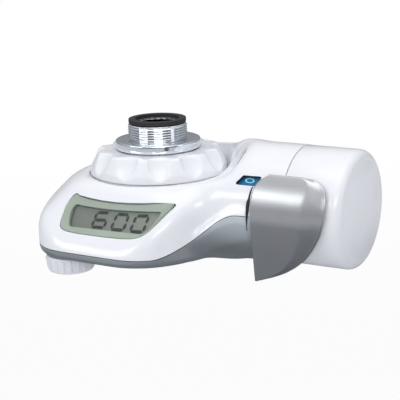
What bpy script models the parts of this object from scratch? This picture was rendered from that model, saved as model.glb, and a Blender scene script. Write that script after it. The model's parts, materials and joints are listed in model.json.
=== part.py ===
"""Faucet mount water filter, modelled in metres with +Z up.

The origin is on the inlet axis, at the shoulder that the tap's end rests on. The
filter barrel runs along +X and the display faces -Y. Water enters from above,
passes the filter in the barrel, and leaves at the ribbed outlet on the left.
"""
import math

import bmesh
import bpy
import numpy as np
from mathutils import Matrix, Vector

# Clearances and walls
GAP = 0.0003
RUN_CLEARANCE = 0.0004
WALL = 0.0020

# Inlet stack, from the tap downwards
THREAD_RADIUS = 0.0120
THREAD_LENGTH = 0.0066
ADAPTER_RADIUS = 0.0173
ADAPTER_BORE = 0.0090
ADAPTER_RING_HEIGHT = 0.0034
ADAPTER_SKIRT_RADIUS = 0.0158
WASHER_THICKNESS = 0.0015
NUT_WALL = 0.0122
NUT_TAPER = 0.0037
NUT_HEIGHT = 0.0094
NUT_SCALLOPS = 12
SCALLOP_TURN = math.radians(2.3)
SCALLOP_HALF_WIDTH = 0.0056
SCALLOP_LENGTH = 0.0078
SCALLOP_TOP_DROP = 0.0008
SCALLOP_DEPTH = 0.0021
NUT_LIP = 0.0016
INLET_FLANGE = 0.0018
INLET_TUBE_RADIUS = 0.0120
INLET_BORE = 0.0075
STRAINER_THICKNESS = 0.0008
STRAINER_HOLE = 0.0012

# Head of the housing, in plan and in height
SHOULDER_WIDTH = 0.0088
LOBE_X = -0.0055
LOBE_Y = -0.0226
LOBE_HALF_WIDTH = 0.0345
LOBE_HALF_DEPTH = 0.0237
LOBE_CORNER = 0.0240
FLANK_START = 0.0065
FLANK_SLOPE = 0.92
FRONT_TILT = math.radians(33.5)
FRONT_Y = -0.0310
FRONT_DROP = 0.0008
RIM_DROP = 0.0280
DECK_RECESS = 0.0006
POCKET_CLEARANCE = 0.0006
POCKET_EASE = 0.0015
POCKET_SHALLOW = 0.30
POCKET_STEEP = 2.90
POCKET_END = 0.0390
POCKET_CLIMB = 320.0

# Filter barrel
BARREL_Y = 0.0008
BARREL_DROP = 0.0077
BARREL_START = 0.0240
BARREL_END = 0.0650
BARREL_RADIUS = 0.0229
BARREL_TAPER = 0.0013
HUMP_INSET = 0.0004
HUMP_BACK = 0.0160
ROOT_DROP = 0.0120
TAIL_PROUD = 0.0009
TAIL_FLARE = 0.0072
TAIL_END = 0.0518
TAIL_RISE = 0.0102

# Split between the white and the grey shell
SPLIT_ABOVE_RIM = 0.0037
SPLIT_HIGH_DROP = 0.0081
SPLIT_RISE_START = 0.0200
SPLIT_RISE_END = 0.0480

# Walls of the nested rings in the barrel, outside in
BARREL_WALL = 0.0014
DRUM_WALL = 0.0010
BAY_WALL = 0.0015
BAY_START = 0.0430
BAY_END = 0.0740
BAY_FLOOR = 0.0025
PORT_RADIUS = 0.0055
PORT_BORE = 0.0030
PORT_LENGTH = 0.0050
PORT_SEAL_INSET = 0.0026
SEAL_INSET = 0.0030
SEAL_SECTION = 0.0004
GROOVE_DEPTH = 0.0009
GROOVE_WIDTH = 0.0016

# Selector
LEVER_LEFT = 0.0541
LEVER_THICKNESS = 0.0020
LEVER_TOP_ANGLE = math.radians(38.0)
LEVER_BEND_ANGLE = math.radians(-18.0)
LEVER_BLADE_LENGTH = 0.0185
LEVER_BLADE_LEAN = math.radians(8.0)
LEVER_BEND_LENGTH = 0.0040
LEVER_EDGE = 0.0009
LEVER_LEFT_LINE = ((0.0, 0.0598), (0.033, 0.0572), (0.10, 0.0542), (0.15, LEVER_LEFT), (1.0, LEVER_LEFT))
LEVER_RIGHT_LINE = (
    (0.0, 0.0762), (0.04, 0.0802), (0.089, 0.0826), (0.168, 0.0835), (0.247, 0.0836), (0.357, 0.0832),
    (0.501, 0.0815), (0.628, 0.0785), (0.731, 0.0754), (0.823, 0.0711), (0.897, 0.0664), (0.962, 0.0603),
    (1.0, 0.0556))
LEVER_CREASE_LINE = (
    (0.0, 0.0735), (0.024, 0.0762), (0.06, 0.0770), (0.10, 0.0769), (0.228, 0.0755), (0.432, 0.0753),
    (0.576, 0.0738), (0.72, 0.0713), (0.83, 0.0680), (0.897, 0.0645), (0.962, 0.0596), (1.0, 0.0551))
LEVER_SWING = math.radians(50.0)
WEB_START = 0.0570
WEB_WIDTH = 0.0050
WEB_ANGLE = math.radians(-22.0)
WEB_SPAN = math.radians(10.0)
WEB_FOOT = 0.0004
SHOULDER_THICKNESS = 0.0020
DRUM_LENGTH = 0.0190
LABEL_START = 0.0460
LABEL_WIDTH = 0.0085
LABEL_THICKNESS = 0.0005
LABEL_TOP_ANGLE = math.radians(42.0)
WINDOW_START = 0.0465
WINDOW_WIDTH = 0.0082
WINDOW_LOW_ANGLE = math.radians(27.5)
WINDOW_HIGH_ANGLE = math.radians(37.5)

# Cartridge and its cover
CARTRIDGE_CLEARANCE = 0.0004
CARTRIDGE_WALL = 0.0014
CARTRIDGE_LENGTH = 0.0315
BLOCK_BORE = 0.0052
CORE_BORE = 0.0036
END_PLATE = 0.0018
INTAKE_INSET = 0.0080
INTAKE_RADIUS = 0.0022
COVER_STEP = 0.0001
COVER_LENGTH = 0.0233
COVER_EDGE = 0.0035
COVER_CROWN = 0.0024
COVER_WALL = 0.0022
COVER_SKIRT = 0.0100
GRIP_HEIGHT = 0.00135
GRIP_THICKNESS = 0.0030

# Outlet
OUTLET_X = -0.0215
OUTLET_Y = -0.0346
NOZZLE_RADIUS = 0.0070
NOZZLE_BORE = 0.0046
NOZZLE_DROP = 0.0034
COLLAR_TOP_RADIUS = 0.0102
COLLAR_RADIUS = 0.0093
COLLAR_DROP = 0.0068
COLLAR_RIBS = 20
COLLAR_RIB_DEPTH = 0.0004
COLLAR_LIP = 0.0010
AERATOR_HOLE = 0.0009

# Water channels and flow meter
CHANNEL_BORE = 0.0024
CHANNEL_WALL = 0.0012
CHANNEL_TURN_X = 0.0180
TURBINE_RADIUS = 0.0068
TURBINE_SHARE = 0.257
METER_WALL = 0.0014
METER_COVER = 0.0014
METER_SPIGOT = 0.0012
TURBINE_BLADES = 6
TURBINE_ALONG = 0.46
TURBINE_ASIDE = 0.0045
AXLE_RADIUS = 0.0008

# Display
DISPLAY_LEFT = -0.0226
DISPLAY_RIGHT = 0.0255
DISPLAY_TOP_DROP = 0.0034
DISPLAY_FOOT = 0.0108
DISPLAY_SLANT = 0.0086
DISPLAY_DIP = 0.0022
DISPLAY_MARGIN = 0.0042
DISPLAY_CORNER = 0.0026
BEZEL_SINK = 0.0008
BEZEL_DEPTH = 0.0016
LENS_SINK = 0.0004
LENS_THICKNESS = 0.0008
LCD_THICKNESS = 0.0012
BOARD_THICKNESS = 0.0012
BOARD_GAP = 0.0008
BATTERY_RADIUS = 0.0058
BATTERY_THICKNESS = 0.0032

# Screws that hold the two shells together
SCREW_PLACES = ((-0.0290, 0.0040), (0.0120, 0.0268), (0.0190, -0.0240))
SCREW_SHANK = 0.0012
SCREW_HEAD = 0.0024
SCREW_HEAD_HEIGHT = 0.0014
BOSS_RADIUS = 0.0034

# Fineness of the round and lofted forms
ROUND_STEPS = 24
NET_STEP = 0.0012
SKIN_FACETS = 2600
HOLLOW_FACETS = 1000

# Levels and places that follow from the sizes above
NUT_RADIUS = ADAPTER_SKIRT_RADIUS + NUT_WALL
NUT_TOP_RADIUS = NUT_RADIUS - NUT_TAPER
NUT_TOP_Z = -ADAPTER_RING_HEIGHT - GAP
NUT_BASE_Z = NUT_TOP_Z - NUT_HEIGHT
DECK_Z = NUT_BASE_Z - GAP
RIM_Z = DECK_Z - RIM_DROP
FLANGE_Z = NUT_BASE_Z + NUT_LIP + GAP
FLANGE_TOP_Z = FLANGE_Z + INLET_FLANGE
SEAL_Z = FLANGE_TOP_Z + GAP
SEAL_TOP_Z = SEAL_Z + WASHER_THICKNESS
SKIRT_Z = SEAL_TOP_Z + GAP
SPLIT_LOW_DROP = RIM_DROP - SPLIT_ABOVE_RIM
DISPLAY_HEIGHT = RIM_DROP - DISPLAY_FOOT
TURBINE_HEIGHT = TURBINE_SHARE * RIM_DROP
BARREL_Z = DECK_Z - BARREL_DROP
POCKET_RADIUS = NUT_RADIUS + POCKET_CLEARANCE
SHOULDER_RADIUS = NUT_RADIUS + SHOULDER_WIDTH
FLANK_RADIUS = NUT_RADIUS + FLANK_START
BARREL_ROOT_RADIUS = BARREL_RADIUS + BARREL_TAPER
HUMP_RADIUS = BARREL_ROOT_RADIUS - HUMP_INSET
HOUSING_BORE = BARREL_RADIUS - BARREL_WALL
DRUM_RADIUS = HOUSING_BORE - RUN_CLEARANCE
DRUM_BORE = DRUM_RADIUS - DRUM_WALL
BAY_RADIUS = DRUM_BORE - RUN_CLEARANCE
BAY_BORE = BAY_RADIUS - BAY_WALL
COVER_RADIUS = BARREL_RADIUS - COVER_STEP
LEVER_INNER = BARREL_RADIUS + 2.0 * RUN_CLEARANCE
LEVER_OUTER = LEVER_INNER + LEVER_THICKNESS
CARTRIDGE_RADIUS = BAY_BORE - CARTRIDGE_CLEARANCE
CARTRIDGE_START = BAY_START + BAY_FLOOR + PORT_LENGTH + GAP
COVER_START = BARREL_END + GAP
DRUM_START = BAY_START + SHOULDER_THICKNESS
PORT_SEAL_X = BAY_START + BAY_FLOOR + PORT_LENGTH - PORT_SEAL_INSET
FLOOR_TOP_Z = RIM_Z + WALL
BOSS_LOW_Z = FLOOR_TOP_Z + 2.0 * GAP
CHANNEL_RADIUS = CHANNEL_BORE + CHANNEL_WALL
NOZZLE_TOP_Z = FLOOR_TOP_Z + 0.0013
CHANNEL_Z = FLOOR_TOP_Z + RUN_CLEARANCE + CHANNEL_RADIUS
METER_RADIUS = TURBINE_RADIUS + RUN_CLEARANCE + METER_WALL
METER_FLOOR_Z = CHANNEL_Z - CHANNEL_BORE + 0.0001
METER_TOP_Z = METER_FLOOR_Z + TURBINE_HEIGHT
BARREL_AXIS = Vector((0.0, BARREL_Y, BARREL_Z))
OUTLET = Vector((OUTLET_X, OUTLET_Y, 0.0))


# Scene and mesh helpers

def clear_scene():
    for item in list(bpy.data.objects):
        bpy.data.objects.remove(item)


def make_material(name, color, roughness, metallic=0.0, alpha=1.0):
    material = bpy.data.materials.new(name)
    material.use_nodes = True
    shader = material.node_tree.nodes["Principled BSDF"]
    shader.inputs["Base Color"].default_value = (*color, 1.0)
    shader.inputs["Roughness"].default_value = roughness
    shader.inputs["Metallic"].default_value = metallic
    shader.inputs["Alpha"].default_value = alpha
    return material


def add_object(name, bm, material=None, smooth_angle=35.0):
    """Turn a bmesh into a named object with outward faces and smooth round sides."""
    bmesh.ops.remove_doubles(bm, verts=bm.verts, dist=1e-7)
    bmesh.ops.recalc_face_normals(bm, faces=bm.faces)
    mesh = bpy.data.meshes.new(name)
    bm.to_mesh(mesh)
    bm.free()
    item = bpy.data.objects.new(name, mesh)
    bpy.context.collection.objects.link(item)
    if material is not None:
        mesh.materials.append(material)
    mesh.shade_smooth()
    mesh.set_sharp_from_angle(angle=math.radians(smooth_angle))
    return item


def clean_mesh(mesh, flat_angle=0.0):
    """Merge stray points and leave plain triangles; a flat angle first melts level facets."""
    bm = bmesh.new()
    bm.from_mesh(mesh)
    bmesh.ops.remove_doubles(bm, verts=bm.verts, dist=2e-6)
    bmesh.ops.dissolve_degenerate(bm, edges=bm.edges, dist=2e-6)
    if flat_angle > 0.0:
        bmesh.ops.dissolve_limit(bm, angle_limit=flat_angle, verts=bm.verts, edges=bm.edges)
    bmesh.ops.triangulate(bm, faces=bm.faces)
    bm.to_mesh(mesh)
    bm.free()


def combine(target, tool, operation="DIFFERENCE"):
    """Apply one exact boolean to the target and remove the tool."""
    clean_mesh(target.data)
    clean_mesh(tool.data)
    modifier = target.modifiers.new("boolean", "BOOLEAN")
    modifier.operation = operation
    modifier.solver = "EXACT"
    modifier.object = tool
    depsgraph = bpy.context.evaluated_depsgraph_get()
    result = bpy.data.meshes.new_from_object(target.evaluated_get(depsgraph))
    target.modifiers.clear()
    clean_mesh(result)
    target.data = result
    bpy.data.objects.remove(tool)


def cut(target, *tools):
    for tool in tools:
        combine(target, tool, "DIFFERENCE")


def join(target, *tools):
    for tool in tools:
        combine(target, tool, "UNION")


def turned_bmesh(profile, steps=ROUND_STEPS):
    """Spin a closed or axis-to-axis profile of (radius, height) about Z."""
    bm = bmesh.new()
    points = [bm.verts.new((radius, 0.0, height)) for radius, height in profile]
    open_profile = profile[0][0] == 0.0 and profile[-1][0] == 0.0
    pairs = list(zip(points, points[1:]))
    if not open_profile:
        pairs.append((points[-1], points[0]))
    edges = [bm.edges.new(pair) for pair in pairs]
    bmesh.ops.spin(bm, geom=points + edges, cent=(0, 0, 0), axis=(0, 0, 1),
                   angle=2.0 * math.pi, steps=steps, use_merge=True)
    bmesh.ops.remove_doubles(bm, verts=bm.verts, dist=1e-7)
    bmesh.ops.recalc_face_normals(bm, faces=bm.faces)
    return bm


def turned(name, profile, material=None, center=(0, 0, 0), along="Z", steps=ROUND_STEPS):
    """A turned piece whose profile heights run along Z or X."""
    bm = turned_bmesh(profile, steps)
    if along == "X":
        bmesh.ops.rotate(bm, verts=bm.verts, cent=(0, 0, 0), matrix=Matrix.Rotation(math.pi / 2, 3, "Y"))
    bmesh.ops.translate(bm, verts=bm.verts, vec=Vector(center))
    return add_object(name, bm, material)


def rod(name, radius, low, high, material=None, center=(0, 0, 0), along="Z", steps=ROUND_STEPS):
    profile = [(0.0, low), (radius, low), (radius, high), (0.0, high)]
    return turned(name, profile, material, center, along, steps)


def tube(name, inner, outer, low, high, material=None, center=(0, 0, 0), along="Z", steps=ROUND_STEPS):
    profile = [(inner, low), (outer, low), (outer, high), (inner, high)]
    return turned(name, profile, material, center, along, steps)


def ring_seal(name, middle, section, height, material, center=(0, 0, 0), along="Z"):
    """An O-ring with a six-sided round section."""
    turns = [2.0 * math.pi * i / 6 for i in range(6)]
    profile = [(middle + section * math.cos(a), height + section * math.sin(a)) for a in turns]
    return turned(name, profile, material, center, along)


def rod_between(name, start, end, radius, steps=16):
    start = Vector(start)
    span = Vector(end) - start
    bm = turned_bmesh([(0.0, 0.0), (radius, 0.0), (radius, span.length), (0.0, span.length)], steps)
    turn = Vector((0, 0, 1)).rotation_difference(span.normalized()).to_matrix()
    bmesh.ops.rotate(bm, verts=bm.verts, cent=(0, 0, 0), matrix=turn)
    bmesh.ops.translate(bm, verts=bm.verts, vec=start)
    return add_object(name, bm)


def block(name, low, high, material=None):
    bm = bmesh.new()
    bmesh.ops.create_cube(bm, size=1.0)
    size = [b - a for a, b in zip(low, high)]
    middle = [(a + b) / 2 for a, b in zip(low, high)]
    bmesh.ops.scale(bm, verts=bm.verts, vec=size)
    bmesh.ops.translate(bm, verts=bm.verts, vec=middle)
    return add_object(name, bm, material)


def prism(name, outline, origin, across, up, depth_from, depth_to, material=None):
    """Extrude a flat outline of (across, up) points along the outline's normal."""
    across = Vector(across)
    up = Vector(up)
    normal = across.cross(up)
    origin = Vector(origin)
    bm = bmesh.new()
    base = [bm.verts.new(origin + across * a + up * b + normal * depth_from) for a, b in outline]
    face = bm.faces.new(base)
    grown = bmesh.ops.extrude_face_region(bm, geom=[face])
    moved = [item for item in grown["geom"] if isinstance(item, bmesh.types.BMVert)]
    bmesh.ops.translate(bm, verts=moved, vec=normal * (depth_to - depth_from))
    return add_object(name, bm, material)


def lofted(name, rings, material=None, closed_ends=True):
    """Skin a list of equally long rings of points and cap both ends."""
    bm = bmesh.new()
    rows = [[bm.verts.new(point) for point in ring] for ring in rings]
    count = len(rows[0])
    for row, following in zip(rows, rows[1:]):
        for i in range(count):
            j = (i + 1) % count
            bm.faces.new((row[i], row[j], following[j], following[i]))
    if closed_ends:
        bm.faces.new(rows[0])
        bm.faces.new(rows[-1])
    return add_object(name, bm, material)


def arc_patch(name, inner, outer, x_low, x_high, angle_low, angle_high, material=None, steps=12):
    """A curved plate on the barrel axis, between two angles above the front horizontal."""
    rings = []
    for i in range(steps + 1):
        angle = angle_low + (angle_high - angle_low) * i / steps
        ring = []
        for radius, x in ((inner, x_low), (outer, x_low), (outer, x_high), (inner, x_high)):
            ring.append(barrel_point(x, radius, angle))
        rings.append(ring)
    return lofted(name, rings, material)


def barrel_point(x, radius, angle):
    """A point at an angle above the horizontal at the barrel's front."""
    return Vector((x, BARREL_Y - radius * math.cos(angle), BARREL_Z + radius * math.sin(angle)))


def smooth_step(low, high, value):
    share = np.clip((value - low) / (high - low), 0.0, 1.0)
    return share * share * (3.0 - 2.0 * share)


def axis_empty(name, place):
    empty = bpy.data.objects.new(name, None)
    empty.empty_display_size = 0.01
    empty.location = place
    bpy.context.collection.objects.link(empty)
    return empty


def hang_on(empty, *pieces):
    """Parent pieces to the empty on their joint's axis, in the same place as before."""
    for piece in pieces:
        piece.data.transform(Matrix.Translation(-empty.location))
        piece.parent = empty


# Form of the housing, as a signed field whose zero level is the outer skin

def smooth_min(a, b, blend):
    share = np.maximum(blend - np.abs(a - b), 0.0) / blend
    return np.minimum(a, b) - share * share * blend / 4.0


def smooth_max(a, b, blend):
    return -smooth_min(-a, -b, blend)


def head_field(x, y, z):
    """The head: a round shoulder about the inlet and a wide lobe below the display."""
    radius = np.hypot(x, y)
    across = np.abs(x - LOBE_X) - (LOBE_HALF_WIDTH - LOBE_CORNER)
    along = np.abs(y - LOBE_Y) - (LOBE_HALF_DEPTH - LOBE_CORNER)
    corner = np.hypot(np.maximum(across, 0.0), np.maximum(along, 0.0))
    lobe = corner + np.minimum(np.maximum(across, along), 0.0) - LOBE_CORNER
    plan = smooth_min(radius - SHOULDER_RADIUS, lobe, 0.012)
    flank = (FLANK_SLOPE * (radius - FLANK_RADIUS) + z - DECK_Z) / math.hypot(FLANK_SLOPE, 1.0)
    front = ((z - DECK_Z + FRONT_DROP) * math.sin(FRONT_TILT)
             - (y - FRONT_Y) * math.cos(FRONT_TILT))
    skin = smooth_max(flank, front, 0.005)
    skin = smooth_max(skin, z - DECK_Z - DECK_RECESS, 0.004)
    return smooth_max(skin, plan, 0.0030)


def barrel_radius(x):
    share = np.clip((x - BARREL_START) / (BARREL_END - BARREL_START), 0.0, 1.0)
    return BARREL_ROOT_RADIUS + (BARREL_RADIUS - BARREL_ROOT_RADIUS) * share


def barrel_field(x, y, z):
    around = np.hypot(y - BARREL_Y, z - BARREL_Z) - barrel_radius(x)
    return smooth_max(around, BARREL_START - x, 0.010)


def hump_field(x, y, z):
    """The rounded back that falls from the barrel's top to behind the ring nut."""
    start = np.array((BARREL_START + 0.010, 0.003, BARREL_Z))
    end = np.array((0.002, HUMP_BACK, BARREL_Z - 0.0053))
    span = end - start
    points = np.stack((x, y, z), axis=-1) - start
    share = np.clip(points @ span / (span @ span), 0.0, 1.0)
    nearest = share[..., None] * span
    return np.linalg.norm(points - nearest, axis=-1) - HUMP_RADIUS


def tail_lower_z(x):
    share = np.clip((x - 0.026) / (TAIL_END - 0.026), 0.0, 1.0)
    return RIM_Z + share * TAIL_RISE


def tail_field(x, y, z):
    """The grey flank that sweeps from the head's corner along the barrel."""
    share = np.clip((x - 0.028) / (TAIL_END - 0.028), 0.0, 1.0)
    flare = TAIL_PROUD + TAIL_FLARE * (1.0 - share) ** 2
    around = np.hypot(y - BARREL_Y, z - BARREL_Z) - barrel_radius(x) - flare
    skin = smooth_max(around, tail_lower_z(x) - z, 0.002)
    skin = smooth_max(skin, z - split_z(x) - 0.002, 0.006)
    skin = smooth_max(skin, np.maximum(x - TAIL_END, 0.012 - x), 0.002)
    return smooth_max(skin, y, 0.002)


def pocket_floor(x, y):
    """Height and slope of the room round the nut: shallow to the front right, steep behind."""
    outside = np.maximum(np.hypot(x, y) - POCKET_RADIUS, 0.0)
    direction = np.degrees(np.arctan2(y, x))
    left = smooth_step(110.0, 170.0, direction) + 1.0 - smooth_step(-95.0, -60.0, direction)
    behind = smooth_step(-52.0, 24.0, direction) ** 3.5 * (1.0 - smooth_step(110.0, 170.0, direction))
    steep = POCKET_SHALLOW + (POCKET_STEEP - POCKET_SHALLOW) * behind + (1.0 - POCKET_SHALLOW) * left
    slope = steep * outside / (outside + POCKET_EASE)
    far = np.maximum(x - POCKET_END, 0.0)
    climb = 2.0 * POCKET_CLIMB * far
    return DECK_Z + slope * outside + POCKET_CLIMB * far * far, np.hypot(slope, climb)


def pocket_field(x, y, z):
    floor, slope = pocket_floor(x, y)
    return (z - floor) / np.hypot(1.0, slope)


def body_field(x, y, z):
    """The head, the rounded back, the barrel and the tail, blended into one skin."""
    floor = RIM_Z - ROOT_DROP * smooth_step(BARREL_START - 0.008, BARREL_START + 0.012, x)
    head = smooth_max(head_field(x, y, z), RIM_Z - z, 0.003)
    rear = smooth_min(hump_field(x, y, z), barrel_field(x, y, z), 0.0015)
    rear = smooth_max(rear, floor - z, 0.003)
    skin = smooth_max(smooth_min(head, rear, 0.007), floor - z, 0.0005)
    return smooth_min(skin, tail_field(x, y, z), 0.003)


def hollow_field(x, y, z):
    """The inner skin: one wall inside the outer one, and farther below the pocket."""
    return smooth_max(body_field(x, y, z) + WALL, pocket_field(x, y, z) + WALL, 0.002)


def split_z(x):
    """Height of the joint between the white and the grey shell."""
    rise = smooth_step(SPLIT_RISE_START, SPLIT_RISE_END, x)
    return DECK_Z - SPLIT_LOW_DROP + (SPLIT_LOW_DROP - SPLIT_HIGH_DROP) * rise


def field_slope(field, points):
    """Value and gradient of a field at points, by central differences."""
    reach = 1e-5
    slopes = []
    for axis in range(3):
        shift = np.zeros(3)
        shift[axis] = reach
        slopes.append((field(*(points + shift).T) - field(*(points - shift).T)) / (2.0 * reach))
    return field(*points.T), np.stack(slopes, axis=-1)


def surface_net(field, low, high, step):
    """Points and quads of a field's zero level, one point for each grid cell that it crosses."""
    axes = [np.arange(a, b + step, step) for a, b in zip(low, high)]
    grid = np.stack(np.meshgrid(*axes, indexing="ij"), axis=-1)
    value = field(grid[..., 0], grid[..., 1], grid[..., 2])
    inside = value < 0.0
    cells = tuple(n - 1 for n in value.shape)
    total = np.zeros(cells + (3,))
    count = np.zeros(cells)
    crossings = []
    for axis in range(3):
        near = tuple(slice(0, -1) if k == axis else slice(None) for k in range(3))
        far = tuple(slice(1, None) if k == axis else slice(None) for k in range(3))
        crossed = inside[near] != inside[far]
        share = np.where(crossed, value[near] / np.where(crossed, value[near] - value[far], 1.0), 0.0)
        point = grid[near] + share[..., None] * (grid[far] - grid[near])
        others = [k for k in range(3) if k != axis]
        for i in (0, 1):
            for j in (0, 1):
                part = [slice(None)] * 3
                part[others[0]] = slice(i, i + cells[others[0]])
                part[others[1]] = slice(j, j + cells[others[1]])
                part = tuple(part)
                total += np.where(crossed[part][..., None], point[part], 0.0)
                count += crossed[part]
        crossings.append((crossed, inside[near]))
    used = count > 0
    index = np.full(cells, -1)
    index[used] = np.arange(used.sum())
    points = total[used] / count[used][:, None]
    quads = []
    for axis, (crossed, starts_inside) in enumerate(crossings):
        place = np.stack(np.nonzero(crossed), axis=-1)
        corners = []
        for a, b in ((-1, -1), (0, -1), (0, 0), (-1, 0)):
            cell = place.copy()
            cell[:, (axis + 1) % 3] += a
            cell[:, (axis + 2) % 3] += b
            corners.append(index[cell[:, 0], cell[:, 1], cell[:, 2]])
        quad = np.stack(corners, axis=-1)
        reverse = ~starts_inside[place[:, 0], place[:, 1], place[:, 2]]
        quad[reverse] = quad[reverse][:, ::-1]
        quads.append(quad)
    for _ in range(4):
        level, slope = field_slope(field, points)
        points = points - slope * (level / np.maximum((slope ** 2).sum(axis=1), 0.05))[:, None]
    return points, np.concatenate(quads)


def skin_solid(name, field, x_end, facets):
    """A closed solid bounded by a field's zero level, with larger facets where it is flat."""
    def ended(x, y, z):
        return smooth_max(field(x, y, z), x - x_end, 0.0005)

    bottom = min(RIM_Z, BARREL_Z - BARREL_ROOT_RADIUS) - 0.004
    low = (LOBE_X - 1.3 * LOBE_HALF_WIDTH, LOBE_Y - 1.3 * LOBE_HALF_DEPTH, bottom)
    high = (x_end + 0.003, BARREL_Y + 1.9 * BARREL_ROOT_RADIUS, BARREL_Z + 1.3 * BARREL_ROOT_RADIUS)
    points, quads = surface_net(ended, low, high, NET_STEP)
    mesh = bpy.data.meshes.new(name)
    mesh.from_pydata(points.tolist(), [], quads.tolist())
    item = bpy.data.objects.new(name, mesh)
    bpy.context.collection.objects.link(item)
    thin = item.modifiers.new("thin", "DECIMATE")
    thin.ratio = facets / (2.0 * len(quads))
    depsgraph = bpy.context.evaluated_depsgraph_get()
    item.data = bpy.data.meshes.new_from_object(item.evaluated_get(depsgraph))
    item.modifiers.clear()
    clean_mesh(item.data)
    return item


def pocket_tool():
    """All the room above the pocket's floor, as one solid on a polar grid."""
    outsides = (-0.0100, 0.0, 0.0004, 0.0010, 0.0018, 0.0030, 0.0052, 0.0078, 0.0104, 0.0128, 0.0150, 0.0172,
                0.0200)
    around = 72
    turns = [2.0 * math.pi * i / around for i in range(around)]
    bm = bmesh.new()
    rows = []
    for outside in outsides:
        row = []
        for turn in turns:
            x = (POCKET_RADIUS + outside) * math.cos(turn)
            y = (POCKET_RADIUS + outside) * math.sin(turn)
            floor, _ = pocket_floor(x, y)
            row.append(bm.verts.new((x, y, float(floor))))
        rows.append(row)
    top = 0.100
    rows.append([bm.verts.new((point.co.x, point.co.y, top)) for point in rows[-1]])
    for row, following in zip(rows, rows[1:]):
        for i in range(around):
            j = (i + 1) % around
            bm.faces.new((row[i], row[j], following[j], following[i]))
    bm.faces.new(rows[0])
    bm.faces.new(rows[-1])
    return add_object("pocket", bm)


def split_tool(name, above, offset):
    """A block above or below the joint line, seen from the front."""
    places = np.linspace(-0.060, 0.090, 46)
    line = [(float(x), float(split_z(np.array(x))) + offset) for x in places]
    level = 0.060 if above else -0.090
    outline = line + [(places[-1], level), (places[0], level)]
    return prism(name, outline, (0, 0, 0), (1, 0, 0), (0, 0, 1), -0.080, 0.080)


# Inlet stack

def build_tap_adapter(material):
    edge = 0.0004
    profile = [
        (ADAPTER_BORE, SKIRT_Z),
        (ADAPTER_SKIRT_RADIUS - edge, SKIRT_Z),
        (ADAPTER_SKIRT_RADIUS, SKIRT_Z + edge),
        (ADAPTER_SKIRT_RADIUS, -ADAPTER_RING_HEIGHT),
        (ADAPTER_RADIUS - edge, -ADAPTER_RING_HEIGHT),
        (ADAPTER_RADIUS, -ADAPTER_RING_HEIGHT + edge),
        (ADAPTER_RADIUS, -edge),
        (ADAPTER_RADIUS - edge, 0.0),
        (THREAD_RADIUS, 0.0),
        (THREAD_RADIUS, THREAD_LENGTH - edge),
        (THREAD_RADIUS - edge, THREAD_LENGTH),
        (ADAPTER_BORE, THREAD_LENGTH),
    ]
    return turned("tap_adapter", profile, material, steps=32)


def build_adapter_washer(material):
    low = THREAD_LENGTH + GAP
    return tube("adapter_washer", ADAPTER_BORE, THREAD_RADIUS - GAP, low, low + WASHER_THICKNESS, material)


def build_inlet_seal(material):
    return tube("inlet_seal", ADAPTER_BORE, ADAPTER_SKIRT_RADIUS - GAP, SEAL_Z, SEAL_TOP_Z, material)


def build_inlet_strainer(material):
    """A thin disc with rings of small holes, dropped into the inlet flange."""
    low = FLANGE_TOP_Z - STRAINER_THICKNESS
    strainer = rod("inlet_strainer", ADAPTER_BORE - GAP, low, low + STRAINER_THICKNESS, material)
    for ring_radius, count in ((0.0, 1), (0.0042, 6)):
        for i in range(count):
            turn = 2.0 * math.pi * i / count
            place = (ring_radius * math.cos(turn), ring_radius * math.sin(turn), 0.0)
            cut(strainer, rod("hole", STRAINER_HOLE, low - GAP, FLANGE_TOP_Z + GAP, center=place, steps=8))
    return strainer


def scalloped_radius(radius, height, turn):
    """Finger hollows: wide at the crown, narrowing to a round foot above the base."""
    pitch = 2.0 * math.pi / NUT_SCALLOPS
    away = (turn - SCALLOP_TURN + pitch / 2) % pitch - pitch / 2
    aside = away * NUT_RADIUS / SCALLOP_HALF_WIDTH
    fall = (NUT_TOP_Z - SCALLOP_TOP_DROP - height) / SCALLOP_LENGTH
    reach = max(1.0 - aside * aside - fall * fall, 0.0)
    return radius - SCALLOP_DEPTH * reach ** 0.8


def build_ring_nut(material):
    """The ring nut: a tapering crown with finger scallops and a captive lower lip."""
    bore = ADAPTER_SKIRT_RADIUS + GAP
    lip = INLET_TUBE_RADIUS + GAP
    edge = 0.0006
    plain = [(NUT_TOP_RADIUS - 0.0040, NUT_TOP_Z), (bore, NUT_TOP_Z), (bore, NUT_BASE_Z + NUT_LIP),
             (lip, NUT_BASE_Z + NUT_LIP), (lip, NUT_BASE_Z), (NUT_RADIUS - edge, NUT_BASE_Z),
             (NUT_RADIUS, NUT_BASE_Z + edge)]
    flank = [(NUT_RADIUS - 0.0001, NUT_BASE_Z + 0.0014), (NUT_RADIUS - 0.0003, NUT_BASE_Z + 0.0026),
             (NUT_RADIUS - 0.0006, NUT_BASE_Z + 0.0040), (NUT_TOP_RADIUS + 0.0023, NUT_BASE_Z + 0.0054),
             (NUT_TOP_RADIUS + 0.0016, NUT_BASE_Z + 0.0067), (NUT_TOP_RADIUS + 0.0008, NUT_TOP_Z - 0.0015),
             (NUT_TOP_RADIUS, NUT_TOP_Z - 0.0008), (NUT_TOP_RADIUS - 0.0014, NUT_TOP_Z - 0.0002)]
    steps = 6 * NUT_SCALLOPS
    rings = []
    for number, (radius, height) in enumerate(plain + flank):
        ring = []
        for k in range(steps):
            turn = SCALLOP_TURN + 2.0 * math.pi * k / steps
            r = radius if number < len(plain) else scalloped_radius(radius, height, turn)
            ring.append((r * math.cos(turn), r * math.sin(turn), height))
        rings.append(ring)
    rings.append(rings[0])
    return lofted("ring_nut", rings, material, closed_ends=False)


# Housing

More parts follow.
